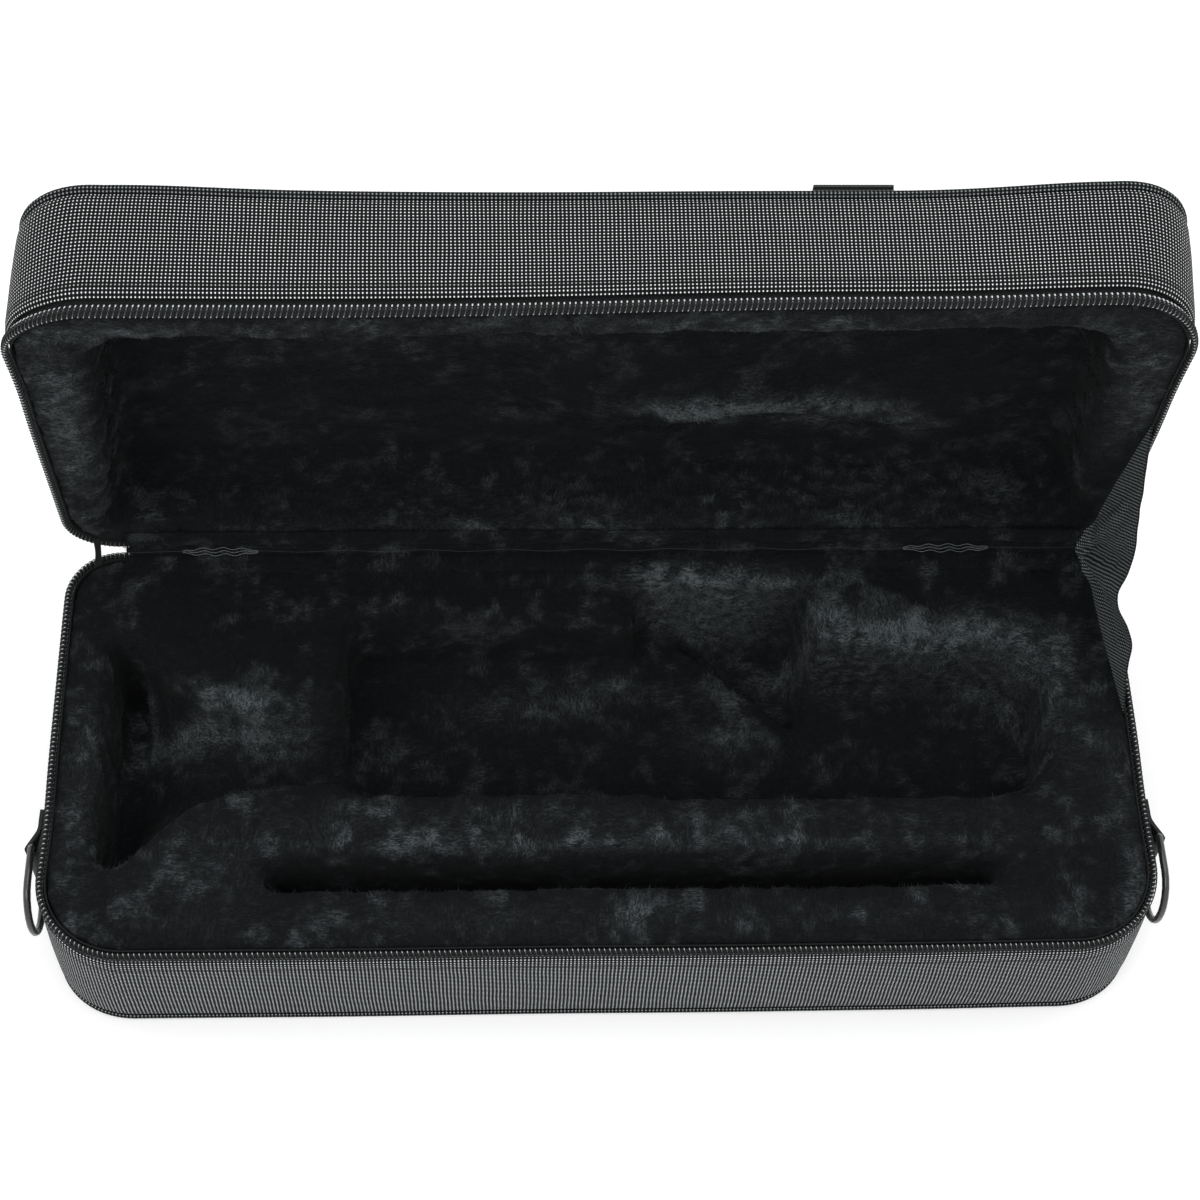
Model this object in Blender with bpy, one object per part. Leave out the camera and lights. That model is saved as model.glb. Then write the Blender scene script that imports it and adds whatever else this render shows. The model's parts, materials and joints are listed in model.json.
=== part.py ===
"""Trumpet gig bag, standing open: two fabric-covered foam halves joined by a fabric hinge along the back.

Metres, +Z up, +X to the right, +Y to the back. The origin is the centre of the base's underside.
Both halves are drawn in the same rim coordinates: x, y counted from the hinge line (negative towards the
front) and h, the distance from the rim plane into the half. The lid's frame is turned open about the hinge.
"""

import math

import bmesh
import bpy
from mathutils import Vector

# Outer sizes
LENGTH = 0.560
DEPTH = 0.234
BASE_HEIGHT = 0.082
LID_HEIGHT = 0.066
FRONT_RADIUS = 0.045
BACK_RADIUS = 0.028
OPEN_ANGLE = 85.0

# Cover: side bands, end panels and the piping sewn between them
GAP = 0.0003
BAND_THICKNESS = 0.0026
PANEL_THICKNESS = 0.0047
PIPING_RADIUS = 0.0025

# Zip round the front and sides: coil half-chain on the edge of a tape
COIL_WIDTH = 0.0055
COIL_THICKNESS = 0.0032
TAPE_THICKNESS = 0.0010
TAPE_WIDTH = 0.0180
TAPE_SHOWN = 0.0026
ZIP_END_INSET = 0.006

# Fabric hinge along the back
HINGE_START = 0.0008
HINGE_STRIP_THICKNESS = 0.0010
HINGE_STEPS = 6

# Lining and foam
LAND_DEPTH = 0.003
PLUSH_THICKNESS = 0.003
PLUSH_GAP = 0.0003
FOAM_BACKING = 0.0006

# Hollow for the bell: a flare that narrows into a channel for the tube
BELL_MARGIN = 0.026
BELL_X = BELL_MARGIN - LENGTH / 2
BELL_OFFSET = 0.001
BELL_S = DEPTH / 2 + BELL_OFFSET
BELL_HALF_WIDTH = 0.064
BELL_FLOOR = 0.070
BELL_SLOT = 0.016
TUBE_HALF_WIDTH = 0.0155
TUBE_FLOOR = 0.034
FLARE_LENGTH = 0.026
BELL_LIP = 0.009
BELL_SLOT_FILLET = 0.004
BELL_SLOT_DRAFT = 0.0006

# Hollow for the valves and slides, and the deep pit for the valve caps
TUBE_LENGTH = 0.106
WELL_END_MARGIN = 0.046
DIVIDER_WIDTH = 0.037
TRENCH_FRONT_MARGIN = 0.037
TRENCH_WIDTH = 0.016
WELL_LEFT = BELL_X + BELL_SLOT + TUBE_LENGTH
WELL_RIGHT = LENGTH / 2 - WELL_END_MARGIN
WELL_BACK = 0.041
WELL_FRONT = DEPTH - TRENCH_FRONT_MARGIN - TRENCH_WIDTH - DIVIDER_WIDTH
WELL_FLOOR = 0.050
WELL_RADIUS = 0.014
WELL_END_RADIUS = 0.030
WELL_LIP = 0.006
WELL_FILLET = 0.006
WELL_DRAFT = 0.002
FLOOR_STEP = 0.0005
SLIDE_LENGTH = 0.118
SLIDE_LEFT = WELL_RIGHT - SLIDE_LENGTH
SLIDE_BACK = 0.060
SLIDE_LIP = 0.014
NOTCH_GAP = 0.0015
NOTCH_LENGTH = 0.0945
NOTCH_RIGHT = SLIDE_LEFT - NOTCH_GAP
NOTCH_LEFT = NOTCH_RIGHT - NOTCH_LENGTH
NOTCH_BACK = 0.020
NOTCH_FRONT = 0.124
NOTCH_RADIUS = 0.012
PIT_FLOOR = 0.064
PIT_GAP = 0.004
PIT_LENGTH = 0.076
PIT_SETBACK = 0.003
PIT_RIGHT = SLIDE_LEFT - PIT_GAP
PIT_LEFT = PIT_RIGHT - PIT_LENGTH
PIT_BACK = NOTCH_BACK + PIT_SETBACK
PIT_FRONT = 0.084
PIT_FRONT_WIDTH = 0.008
PIT_RADIUS = 0.005
PIT_TAPER = 0.004
PIT_FILLET = 0.004

# Long trench for small things, in front of the divider
TRENCH_LEFT_MARGIN = 0.110
TRENCH_RIGHT_MARGIN = 0.080
TRENCH_LEFT = TRENCH_LEFT_MARGIN - LENGTH / 2
TRENCH_RIGHT = LENGTH / 2 - TRENCH_RIGHT_MARGIN
TRENCH_FRONT = DEPTH - TRENCH_FRONT_MARGIN
TRENCH_BACK = TRENCH_FRONT - TRENCH_WIDTH
TRENCH_FLOOR = 0.052
TRENCH_LIP = 0.0045
TRENCH_RADIUS = 0.006
TRENCH_FILLET = 0.004
TRENCH_DRAFT = 0.001

# Hollow of the lid, with an arched lip and a scoop under it
RECESS_BACK_MARGIN = 0.023
RECESS_CORNER_MARGIN = 0.042
RECESS_FRONT_MARGIN = 0.029
RECESS_HALF_BACK = LENGTH / 2 - RECESS_BACK_MARGIN
RECESS_HALF_FRONT = LENGTH / 2 - RECESS_CORNER_MARGIN
RECESS_BACK = 0.016
RECESS_FRONT = DEPTH - RECESS_FRONT_MARGIN
RECESS_FLOOR = 0.047
RECESS_RADIUS = 0.022
RECESS_LIP = 0.007
RECESS_FILLET = 0.012
RECESS_DRAFT = 0.002
ARCH_OFFSET = 0.017
ARCH_X = SLIDE_LEFT - ARCH_OFFSET
ARCH_HALF_WIDTH = 0.066
ARCH_TOP = 0.088
ARCH_RISE = 0.024
ARCH_FOOT = 0.018
ARCH_BROW = 0.009
ARCH_BROW_RUN = 0.030
ARCH_OVERHANG = 0.004
BROW_ROOT = 0.0015
SCOOP_FLOOR = 0.054

# Rings for the shoulder strap
RING_WIRE = 0.0038
RING_BAR = 0.042
RING_BEND = 0.0036
RING_REACH = 0.036
RING_BOW_SHARE = 0.75
RING_FRONT_MARGIN = 0.066
RING_S = DEPTH - RING_FRONT_MARGIN
RING_DROP = 0.0095
RING_STAND = 0.0058
RING_TAB_LENGTH = 0.022
RING_TAB_PINCH = 0.010
WEBBING = 0.038
WEBBING_THICKNESS = 0.0018

# Stay gusset on the right side
GUSSET_THICKNESS = 0.0014
GUSSET_BASE_S = 0.105
GUSSET_LID_S = 0.124
GUSSET_INSET = 0.0056
GUSSET_SAG = 0.010
GUSSET_NEAR_INSET = 0.006
GUSSET_LIFT = 0.0012

# Zip ends on the back wall, with their sliders
ZIP_BACK_MARGIN = 0.034
ZIP_END_X = LENGTH / 2 - ZIP_BACK_MARGIN
ZIP_END_LENGTH = 0.050
ZIP_END_DROP = 0.018
CHAIN_WIDTH = 0.0064
ZIP_END_MARGIN = 0.004
SLIDER_LENGTH = 0.015
SLIDER_WIDTH = 0.0105
SLIDER_WALL = 0.0011
SLIDER_BEVEL = 0.0007
SLIDER_STOP_GAP = 0.001
BRIDGE_RISE = 0.0019
BRIDGE_BAR = 0.0011
BRIDGE_WIDTH = 0.0026
BRIDGE_FOOT = 0.0005
PULL_LENGTH = 0.026
PULL_WIDTH = 0.0075
PULL_THICKNESS = 0.0010
PULL_EYE_LENGTH = 0.0070
PULL_EYE_MARGIN = 0.0006

# Carry handle on the lid's outer panel
HANDLE_X = 0.118
HANDLE_TOP_MARGIN = 0.013
HANDLE_PATCH_LENGTH = 0.071
HANDLE_PATCH_TOP = DEPTH - HANDLE_TOP_MARGIN
HANDLE_PATCH_FOOT = HANDLE_PATCH_TOP - HANDLE_PATCH_LENGTH
HANDLE_FOLD_RADIUS = 0.0017
HANDLE_DROP = 0.096
HANDLE_CORNER = 0.050
HANDLE_NECK = 0.024
GRIP_LENGTH = 0.110
GRIP_WIDTH = 0.032
GRIP_THICKNESS = 0.012
GRIP_END_TAPER = 0.0015
GRIP_END_LENGTH = 0.006

# What follows from these sizes: the tape's place behind the coil, the band's edge and the lining's edge
TAPE_INSET = COIL_THICKNESS + GAP
BAND_START = COIL_WIDTH + TAPE_SHOWN
LINING_INSET = TAPE_INSET + TAPE_THICKNESS + GAP

# Counts of straight steps on round stretches
CORNER_STEPS = 5
LIP_STEPS = 2
FLARE_STEPS = 9
CHANNEL_STEPS = 10
ARCH_STEPS = 14
RING_STEPS = 8
BEND_STEPS = 3
WIRE_SIDES = 8
GUSSET_STEPS = 6
SLIDER_STEPS = 6
FOLD_STEPS = 6

# Directions, in degrees, at which the tab's centre line goes round the ring's bar
TAB_ANGLES = (110, 75, 40, 5, -30, -65, -100)

# Sections of the grip and of the slot through it, as shares of half their width and thickness
GRIP_CORNERS = ((1.0, 0.3), (0.7, 1.0), (0.0, 1.15), (-0.7, 1.0), (-1.0, 0.3),
                (-1.0, -0.3), (-0.7, -1.0), (0.0, -1.15), (0.7, -1.0), (1.0, -0.3))
SLOT_CORNERS = ((1.0, 0.5), (1.0, 1.0), (0.0, 1.0), (-1.0, 1.0), (-1.0, 0.5),
                (-1.0, -0.5), (-1.0, -1.0), (0.0, -1.0), (1.0, -1.0), (1.0, -0.5))

PLUSH = ((0.008, 0.009, 0.010, 1.0), 0.95, 0.0)
NYLON = ((0.090, 0.098, 0.102, 1.0), 0.75, 0.0)
BLACK_TAPE = ((0.012, 0.012, 0.013, 1.0), 0.80, 0.0)
COIL_PLASTIC = ((0.020, 0.021, 0.022, 1.0), 0.38, 0.0)
BLACK_STEEL = ((0.015, 0.015, 0.016, 1.0), 0.25, 0.9)
FOAM = ((0.70, 0.70, 0.68, 1.0), 0.85, 0.0)


def clear_scene():
    for obj in list(bpy.data.objects):
        bpy.data.objects.remove(obj, do_unlink=True)


def finish_material(name, look):
    colour, roughness, metallic = look
    material = bpy.data.materials.new(name)
    material.use_nodes = True
    shader = material.node_tree.nodes["Principled BSDF"]
    shader.inputs["Base Color"].default_value = colour
    shader.inputs["Roughness"].default_value = roughness
    shader.inputs["Metallic"].default_value = metallic
    return material


def add_frame(name, angle):
    """An empty on the hinge line; everything in a half hangs from it."""
    frame = bpy.data.objects.new(name, None)
    frame.location = (0.0, DEPTH / 2, BASE_HEIGHT)
    frame.rotation_euler = (math.radians(angle), 0.0, 0.0)
    bpy.context.scene.collection.objects.link(frame)
    return frame


def add_mesh(name, points, faces, parent, look, smooth_angle=35.0, location=None):
    """One closed solid from points and faces, its normals made to face out."""
    mesh = bpy.data.meshes.new(name)
    mesh.from_pydata([tuple(p) for p in points], [], faces)
    shape = bmesh.new()
    shape.from_mesh(mesh)
    bmesh.ops.recalc_face_normals(shape, faces=shape.faces)
    shape.to_mesh(mesh)
    shape.free()
    mesh.shade_smooth()
    mesh.set_sharp_from_angle(angle=math.radians(smooth_angle))
    obj = bpy.data.objects.new(name, mesh)
    if location is not None:
        obj.location = location
    obj.parent = parent
    bpy.context.scene.collection.objects.link(obj)
    if look is not None:
        mesh.materials.append(finish_material(name, look))
    return obj


def hide_cutter(obj):
    obj.hide_render = True
    obj.display_type = "WIRE"
    return obj


def combine(target, other, operation):
    """A Boolean on target with another shape, which stays in the scene as a guide."""
    hide_cutter(other)
    modifier = target.modifiers.new(other.name, "BOOLEAN")
    modifier.operation = operation
    modifier.object = other
    modifier.solver = "EXACT"


# Outlines


def soft_polygon(corners, radii, offset=0.0, steps=CORNER_STEPS):
    """A convex outline, anticlockwise, with round corners, moved outwards by offset."""
    count = len(corners)
    outline = []
    for i, corner in enumerate(corners):
        before = Vector(corner) - Vector(corners[i - 1])
        after = Vector(corners[(i + 1) % count]) - Vector(corner)
        normal_in = Vector((before.y, -before.x)).normalized()
        normal_out = Vector((after.y, -after.x)).normalized()
        reach = (normal_in + normal_out) / (1.0 + normal_in.dot(normal_out))
        radius = max(radii[i] + offset, 0.0002)
        centre = Vector(corner) + reach * (offset - radius)
        start = math.atan2(normal_in.y, normal_in.x)
        turn = normal_in.angle_signed(normal_out)
        for k in range(steps + 1):
            angle = start - turn * k / steps
            outline.append((centre.x + radius * math.cos(angle), centre.y + radius * math.sin(angle)))
    return outline


def case_outline(inset=0.0):
    """The halves' outline in rim coordinates, from the back left corner round the front."""
    left, right = -LENGTH / 2, LENGTH / 2
    corners = [(left, 0.0), (left, -DEPTH), (right, -DEPTH), (right, 0.0)]
    radii = [BACK_RADIUS, FRONT_RADIUS, FRONT_RADIUS, BACK_RADIUS]
    return soft_polygon(corners, radii, -inset)


def zip_outline(inset=0.0):
    """The same outline, open along the hinge."""
    outline = case_outline(inset)
    return [(-ZIP_END_X, -inset)] + outline + [(ZIP_END_X, -inset)]


# Solids


def loft(name, rings, parent, look, closed_path=False, location=None):
    """Skin a row of closed rings of points; the row is capped, or joined end to start."""
    points = [p for ring in rings for p in ring]
    size = len(rings[0])
    faces = []
    spans = len(rings) if closed_path else len(rings) - 1
    for i in range(spans):
        a, b = i * size, ((i + 1) % len(rings)) * size
        for k in range(size):
            n = (k + 1) % size
            faces.append((a + k, a + n, b + n, b + k))
    if not closed_path:
        faces.append(tuple(range(size)))
        last = (len(rings) - 1) * size
        faces.append(tuple(last + k for k in reversed(range(size))))
    return add_mesh(name, points, faces, parent, look, location=location)


def sweep_edge(name, profile, path_at, closed, side, parent, look):
    """Sweep a profile of (inset, h) points along the outline that path_at gives for each inset."""
    paths = [path_at(inset) for inset, _ in profile]
    rings = []
    for k in range(len(paths[0])):
        rings.append([(paths[j][k][0], paths[j][k][1], side * h) for j, (_, h) in enumerate(profile)])
    return loft(name, rings, parent, look, closed_path=closed)


def oval(centre_inset, centre_h, half_inset, half_h, steps):
    """Profile points of an oval, for piping and coil."""
    turns = [math.tau * k / steps for k in range(steps)]
    return [(centre_inset + half_inset * math.cos(t), centre_h + half_h * math.sin(t)) for t in turns]


def slab(name, outline, low, high, side, parent, look):
    rings = [[(x, y, side * h) for x, y in outline] for h in (low, high)]
    return loft(name, rings, parent, look)


# Hollows


def basin(name, corners, radii, lip, floor, fillet, draft, grow, top, side, parent):
    """Closed form of one hollow: lip at the land, drafted walls, rounded floor.

    grow moves every surface outwards by one thickness, so the back of the lining and the foam
    round it come from the same call. top is how far the form reaches towards the rim.
    """
    levels = [(lip, top)]
    for k in range(LIP_STEPS + 1):
        angle = math.pi / 2 * k / LIP_STEPS
        levels.append((lip - (lip - grow) * math.sin(angle), LAND_DEPTH + lip - (lip - grow) * math.cos(angle)))
    for k in range(LIP_STEPS + 1):
        angle = math.pi / 2 * k / LIP_STEPS
        inwards = grow - draft - (fillet + grow) * (1.0 - math.cos(angle))
        levels.append((inwards, floor - fillet + (fillet + grow) * math.sin(angle)))
    rings = []
    for offset, h in levels:
        rings.append([(x, y, side * h) for x, y in soft_polygon(corners, radii, offset)])
    return loft(name, rings, parent, None)


def flare_share(x):
    """1 at the bell's rim, falling towards 0 along the tube."""
    return math.exp(-(x - BELL_X - BELL_SLOT) / FLARE_LENGTH)


def bell_channel(name, grow, top, parent):
    """The flare and the tube's channel: round-bottomed sections lofted along the tube."""
    end = WELL_LEFT + WELL_RADIUS
    start = BELL_X + BELL_SLOT * 0.5
    shoulder = LAND_DEPTH + BELL_LIP
    rings = []
    for i in range(FLARE_STEPS + 1):
        x = start + (end - start) * (i / FLARE_STEPS) ** 1.5
        share = min(flare_share(x), 1.0)
        width = TUBE_HALF_WIDTH + (BELL_HALF_WIDTH - TUBE_HALF_WIDTH) * share
        drop = TUBE_FLOOR + (BELL_FLOOR - TUBE_FLOOR) * share - shoulder
        half = [(width + BELL_LIP, top)]
        for k in range(LIP_STEPS):
            angle = math.pi / 2 * k / LIP_STEPS
            arc = BELL_LIP - grow
            half.append((width + BELL_LIP - arc * math.sin(angle), shoulder - arc * math.cos(angle)))
        right = [(-y, h) for y, h in half]
        bottom = []
        for k in range(CHANNEL_STEPS + 1):
            angle = math.pi * k / CHANNEL_STEPS
            bottom.append(((width + grow) * math.cos(angle), shoulder + (drop + grow) * math.sin(angle)))
        section = half + bottom + list(reversed(right))
        rings.append([(x, y - BELL_S, -h) for y, h in section])
    return loft(name, rings, parent, None)


def base_hollows(label, grow, top, parent):
    """Every hollow of the base, as closed forms."""
    side = -1.0
    forms = []

    def rectangle(left, right, front, back):
        return [(left, -front), (right, -front), (right, -back), (left, -back)]

    def add(name, corners, radii, lip, floor, fillet, draft):
        form_name = f"{label}_{name}"
        forms.append(basin(form_name, corners, radii, lip, floor, fillet, draft, grow, top, side, parent))

    half = BELL_HALF_WIDTH
    slot = rectangle(BELL_X, BELL_X + BELL_SLOT, BELL_S + half, BELL_S - half)
    add("bell_slot", slot, [BELL_SLOT * 0.45] * 4, BELL_LIP, BELL_FLOOR, BELL_SLOT_FILLET, BELL_SLOT_DRAFT)
    forms.append(bell_channel(f"{label}_bell_channel", grow, top, parent))
    well = rectangle(WELL_LEFT, SLIDE_LEFT, WELL_FRONT, WELL_BACK)
    add("valve_well", well, [WELL_RADIUS] * 4, WELL_LIP, WELL_FLOOR, WELL_FILLET, WELL_DRAFT)
    slides = rectangle(NOTCH_LEFT, WELL_RIGHT, WELL_FRONT, SLIDE_BACK)
    ends = [WELL_RADIUS, WELL_END_RADIUS, WELL_END_RADIUS, WELL_RADIUS]
    add("slide_well", slides, ends, SLIDE_LIP, WELL_FLOOR + FLOOR_STEP, WELL_FILLET, WELL_DRAFT)
    notch = rectangle(NOTCH_LEFT, NOTCH_RIGHT, NOTCH_FRONT, NOTCH_BACK)
    add("cap_notch", notch, [NOTCH_RADIUS] * 4, WELL_LIP, WELL_FLOOR + 2 * FLOOR_STEP, WELL_FILLET, WELL_DRAFT)
    forms.append(pit_form(f"{label}_cap_pit", grow, parent))
    trench = rectangle(TRENCH_LEFT, TRENCH_RIGHT, TRENCH_FRONT, TRENCH_BACK)
    add("trench", trench, [TRENCH_RADIUS] * 4, TRENCH_LIP, TRENCH_FLOOR, TRENCH_FILLET, TRENCH_DRAFT)
    return forms


def pit_form(name, grow, parent):
    """The deep three-cornered pit in the well's floor, open into the well above it."""
    corners = [(PIT_RIGHT - PIT_FRONT_WIDTH, -PIT_FRONT), (PIT_RIGHT, -PIT_FRONT),
               (PIT_RIGHT, -PIT_BACK), (PIT_LEFT, -PIT_BACK)]
    levels = [(grow, WELL_FLOOR / 2), (grow, WELL_FLOOR), (grow - PIT_TAPER / 2, PIT_FLOOR - PIT_FILLET),
              (grow - PIT_TAPER / 2 - PIT_FILLET, PIT_FLOOR + grow)]
    rings = []
    for offset, h in levels:
        outline = soft_polygon(corners, [PIT_RADIUS] * 4, offset, steps=3)
        rings.append([(x, y, -h) for x, y in outline])
    return loft(name, rings, parent, None)


def arch_point(share, outwards):
    """A point of the arch over the scoop; share runs from 0 at its left end to 1 at its right."""
    across = 2.0 * share - 1.0
    x = ARCH_X + (ARCH_HALF_WIDTH + outwards * 0.6) * across
    s = ARCH_TOP - ARCH_RISE * across * across + outwards
    return x, -s


def scoop_form(name, grow, parent):
    """The scoop under the arch: deeper than the lid's floor at the arch, running out at its foot."""
    arch = [arch_point(1.0 - k / ARCH_STEPS, grow) for k in range(ARCH_STEPS + 1)]
    foot_left = (arch[-1][0], -ARCH_FOOT + grow)
    foot_right = (arch[0][0], -ARCH_FOOT + grow)
    outline = [foot_right] + arch + [foot_left]
    upper = RECESS_FLOOR - ARCH_BROW - ARCH_OVERHANG
    rings = [[(x, y, upper) for x, y in outline]]
    floor_ring = []
    for x, y in outline:
        share = (-y - ARCH_FOOT) / (ARCH_TOP - ARCH_FOOT)
        deep = RECESS_FLOOR + (SCOOP_FLOOR - RECESS_FLOOR) * share
        floor_ring.append((x, y, deep + grow - FLOOR_STEP))
    rings.append(floor_ring)
    return loft(name, rings, parent, None)


def arch_brow(name, parent):
    """The swelling above the arch: a wedge that is highest along the arch's edge."""
    rings = []
    for k in range(ARCH_STEPS + 1):
        share = k / ARCH_STEPS
        taper = math.sin(math.pi * (0.08 + 0.84 * share))
        inner = arch_point(share, -ARCH_OVERHANG)
        middle = arch_point(share, ARCH_BROW_RUN * taper * 0.45)
        outer = arch_point(share, ARCH_BROW_RUN * taper)
        rings.append([
            (inner[0], inner[1], RECESS_FLOOR + BROW_ROOT),
            (inner[0], inner[1], RECESS_FLOOR - ARCH_BROW * taper),
            (middle[0], middle[1], RECESS_FLOOR - ARCH_BROW * taper * 0.75),
            (outer[0], outer[1], RECESS_FLOOR + BROW_ROOT),
        ])
    return loft(name, rings, parent, None)


def lid_recess(name, grow, top, parent):
    corners = [(-RECESS_HALF_FRONT, -RECESS_FRONT), (RECESS_HALF_FRONT, -RECESS_FRONT),
               (RECESS_HALF_BACK, -RECESS_BACK), (-RECESS_HALF_BACK, -RECESS_BACK)]
    radii = [RECESS_RADIUS, RECESS_RADIUS, RECESS_RADIUS * 0.8, RECESS_RADIUS * 0.8]
    return basin(name, corners, radii, RECESS_LIP, RECESS_FLOOR, RECESS_FILLET, RECESS_DRAFT,
                 grow, top, 1.0, parent)


# Pieces that both halves have


def build_cover(label, height, side, parent):
    """Side band, end panel and piping of one half."""
    band_end = height - 2 * PIPING_RADIUS - 2 * GAP
    profile = [(0.0, BAND_START), (BAND_THICKNESS, BAND_START), (BAND_THICKNESS, band_end), (0.0, band_end)]
    sweep_edge(f"{label}_side_band", profile, case_outline, True, side, parent, NYLON)
    piping_h = height - PIPING_RADIUS - GAP
    piping = oval(PIPING_RADIUS, piping_h, PIPING_RADIUS, PIPING_RADIUS, 6)
    sweep_edge(f"{label}_piping", piping, case_outline, True, side, parent, NYLON)
    panel = case_outline(2 * PIPING_RADIUS + GAP)
    panel_name = "base_bottom_panel" if label == "base" else "lid_top_panel"
    slab(panel_name, panel, height - PANEL_THICKNESS, height, side, parent, NYLON)


def build_zip_half(label, side, parent):
    """Tape and coil along the front and sides of one half."""
    tape_end = GAP + TAPE_WIDTH
    inner = TAPE_INSET + TAPE_THICKNESS
    tape_start = GAP + COIL_WIDTH * 0.3
    tape = [(TAPE_INSET, tape_start), (inner, tape_start), (inner, tape_end), (TAPE_INSET, tape_end)]
    sweep_edge(f"{label}_zip_tape", tape, zip_outline, False, side, parent, BLACK_TAPE)
    coil = oval(COIL_THICKNESS / 2, GAP + COIL_WIDTH / 2, COIL_THICKNESS / 2, COIL_WIDTH / 2, 8)
    sweep_edge(f"{label}_zip_coil", coil, zip_outline, False, side, parent, COIL_PLASTIC)


def build_lining(label, height, side, parent, forms_at):
    """Plush lining with its hollows, and the foam core that carries it."""
    outline = case_outline(LINING_INSET)
    lining = slab(f"{label}_plush_lining", outline, LAND_DEPTH, LAND_DEPTH + PLUSH_THICKNESS, side, parent, PLUSH)
    inside_slab = LAND_DEPTH + PLUSH_THICKNESS / 2
    for form in forms_at(f"{label}_back", PLUSH_THICKNESS, inside_slab, parent):
        combine(lining, form, "UNION")
    foam_top = LAND_DEPTH + PLUSH_THICKNESS + PLUSH_GAP
    foam_step = GAP + TAPE_WIDTH + GAP
    foam_end = height - max(PANEL_THICKNESS + FOAM_BACKING, 2 * PIPING_RADIUS + 2 * GAP)
    wide = case_outline(BAND_THICKNESS + GAP)
    sections = ((outline, foam_top), (outline, foam_step), (wide, foam_step), (wide, foam_end))
    rings = [[(x, y, side * h) for x, y in ring] for ring, h in sections]
    foam = loft(f"{label}_foam_core", rings, parent, FOAM)
    for form in forms_at(f"{label}_bed", PLUSH_THICKNESS + PLUSH_GAP, 0.0, parent):
        combine(foam, form, "DIFFERENCE")
    return lining


def build_base_lining(parent):
    lining = build_lining("base", BASE_HEIGHT, -1.0, parent, base_hollows)
    for form in base_hollows("base_hollow", 0.0, -0.010, parent):
        combine(lining, form, "DIFFERENCE")


def lid_forms(label, grow, top, parent):
    forms = [lid_recess(f"{label}_recess", grow, top, parent)]
    forms.append(scoop_form(f"{label}_scoop", grow, parent))
    return forms


def build_lid_lining(parent):
    lining = build_lining("lid", LID_HEIGHT, 1.0, parent, lid_forms)
    recess, scoop = lid_forms("lid_hollow", 0.0, -0.010, parent)
    combine(lining, recess, "DIFFERENCE")
    combine(lining, arch_brow("lid_brow", parent), "UNION")
    combine(lining, scoop, "DIFFERENCE")


# Hinge and stay


def crease_profile(inner, thickness, leg):
    """Bent strip round the hinge line, in the base's y, z: down the base's wall, then along the lid's."""
    turn = math.radians(OPEN_ANGLE)
    outer = inner + thickness
    lid_inset = Vector((-math.cos(turn), math.sin(turn)))
    lid_deep = Vector((math.sin(turn), math.cos(turn)))

    def edge(radius):
        points = [Vector((-radius, -leg))]
        for k in range(HINGE_STEPS + 1):
            angle = math.pi - turn * k / HINGE_STEPS
            points.append(Vector((radius * math.cos(angle), radius * math.sin(angle))))
        points.append(lid_inset * radius + lid_deep * leg)
        return points

    return edge(inner) + list(reversed(edge(outer)))


def hinge_piece(name, inner, thickness, leg, half_length, parent, look):
    profile = crease_profile(inner, thickness, leg)
    rings = [[(x, p.x, p.y) for p in profile] for x in (-half_length, half_length)]
    return loft(name, rings, parent, look)


def build_hinge(parent):
    half_length = ZIP_END_X - ZIP_END_INSET
    leg = BAND_START - GAP
    hinge_piece("hinge_strip", HINGE_START, HINGE_STRIP_THICKNESS, leg, half_length, parent, NYLON)
    lining_start = HINGE_START + HINGE_STRIP_THICKNESS + GAP
    lining_thickness = LINING_INSET - GAP - lining_start
    hinge_piece("hinge_lining", lining_start, lining_thickness, leg, half_length, parent, PLUSH)


def build_gusset(parent):
    """Three-cornered stay on the right: hinge end, lid end and base end, its free edge drawn in."""
    turn = math.radians(OPEN_ANGLE)
    x = LENGTH / 2 - GUSSET_INSET
    hinge_gap = BACK_RADIUS * 0.6
    lid_dir = Vector((0.0, -math.cos(turn), math.sin(turn)))
    off_base = Vector((0.0, 0.0, GUSSET_LIFT))
    off_lid = Vector((0.0, -GUSSET_LIFT, 0.0))
    base_near = Vector((x - GUSSET_NEAR_INSET, -hinge_gap, 0.0)) + off_base
    base_far = Vector((x, -GUSSET_BASE_S, 0.0)) + off_base
    lid_near = Vector((x - GUSSET_NEAR_INSET, 0.0, 0.0)) + lid_dir * hinge_gap + off_lid
    lid_far = Vector((x, 0.0, 0.0)) + lid_dir * GUSSET_LID_S + off_lid
    across = Vector((GUSSET_THICKNESS / 2, 0.0, 0.0))
    rings = []
    for k in range(GUSSET_STEPS + 1):
        share = k / GUSSET_STEPS
        sag = Vector((-GUSSET_SAG * math.sin(math.pi * share), 0.0, 0.0))
        near = base_near.lerp(lid_near, share)
        far = base_far.lerp(lid_far, share) + sag
        middle = near.lerp(far, 0.5)
        rings.append([near - across, middle - across, far - across, far + across, middle + across, near + across])
    loft("stay_gusset", rings, parent, NYLON)


# Shoulder strap rings


def tab_path():
    """Centre line of one webbing tab in plan, as (s, stand off the wall): out, round the bar, back."""
    reach = RING_WIRE / 2 + WEBBING_THICKNESS / 2 + GAP
    wall = WEBBING_THICKNESS / 2 + GAP
    sewn = RING_S - RING_TAB_LENGTH
    outer = wall + WEBBING_THICKNESS + GAP
    path = [(sewn, outer), (RING_S - RING_TAB_PINCH, outer + 2 * GAP)]
    for angle in TAB_ANGLES:
        turn = math.radians(angle)
        path.append((RING_S + reach * math.cos(turn), RING_STAND + reach * math.sin(turn)))
    path.append((RING_S - RING_TAB_PINCH, wall))
    path.append((sewn, wall))
    return path


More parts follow.
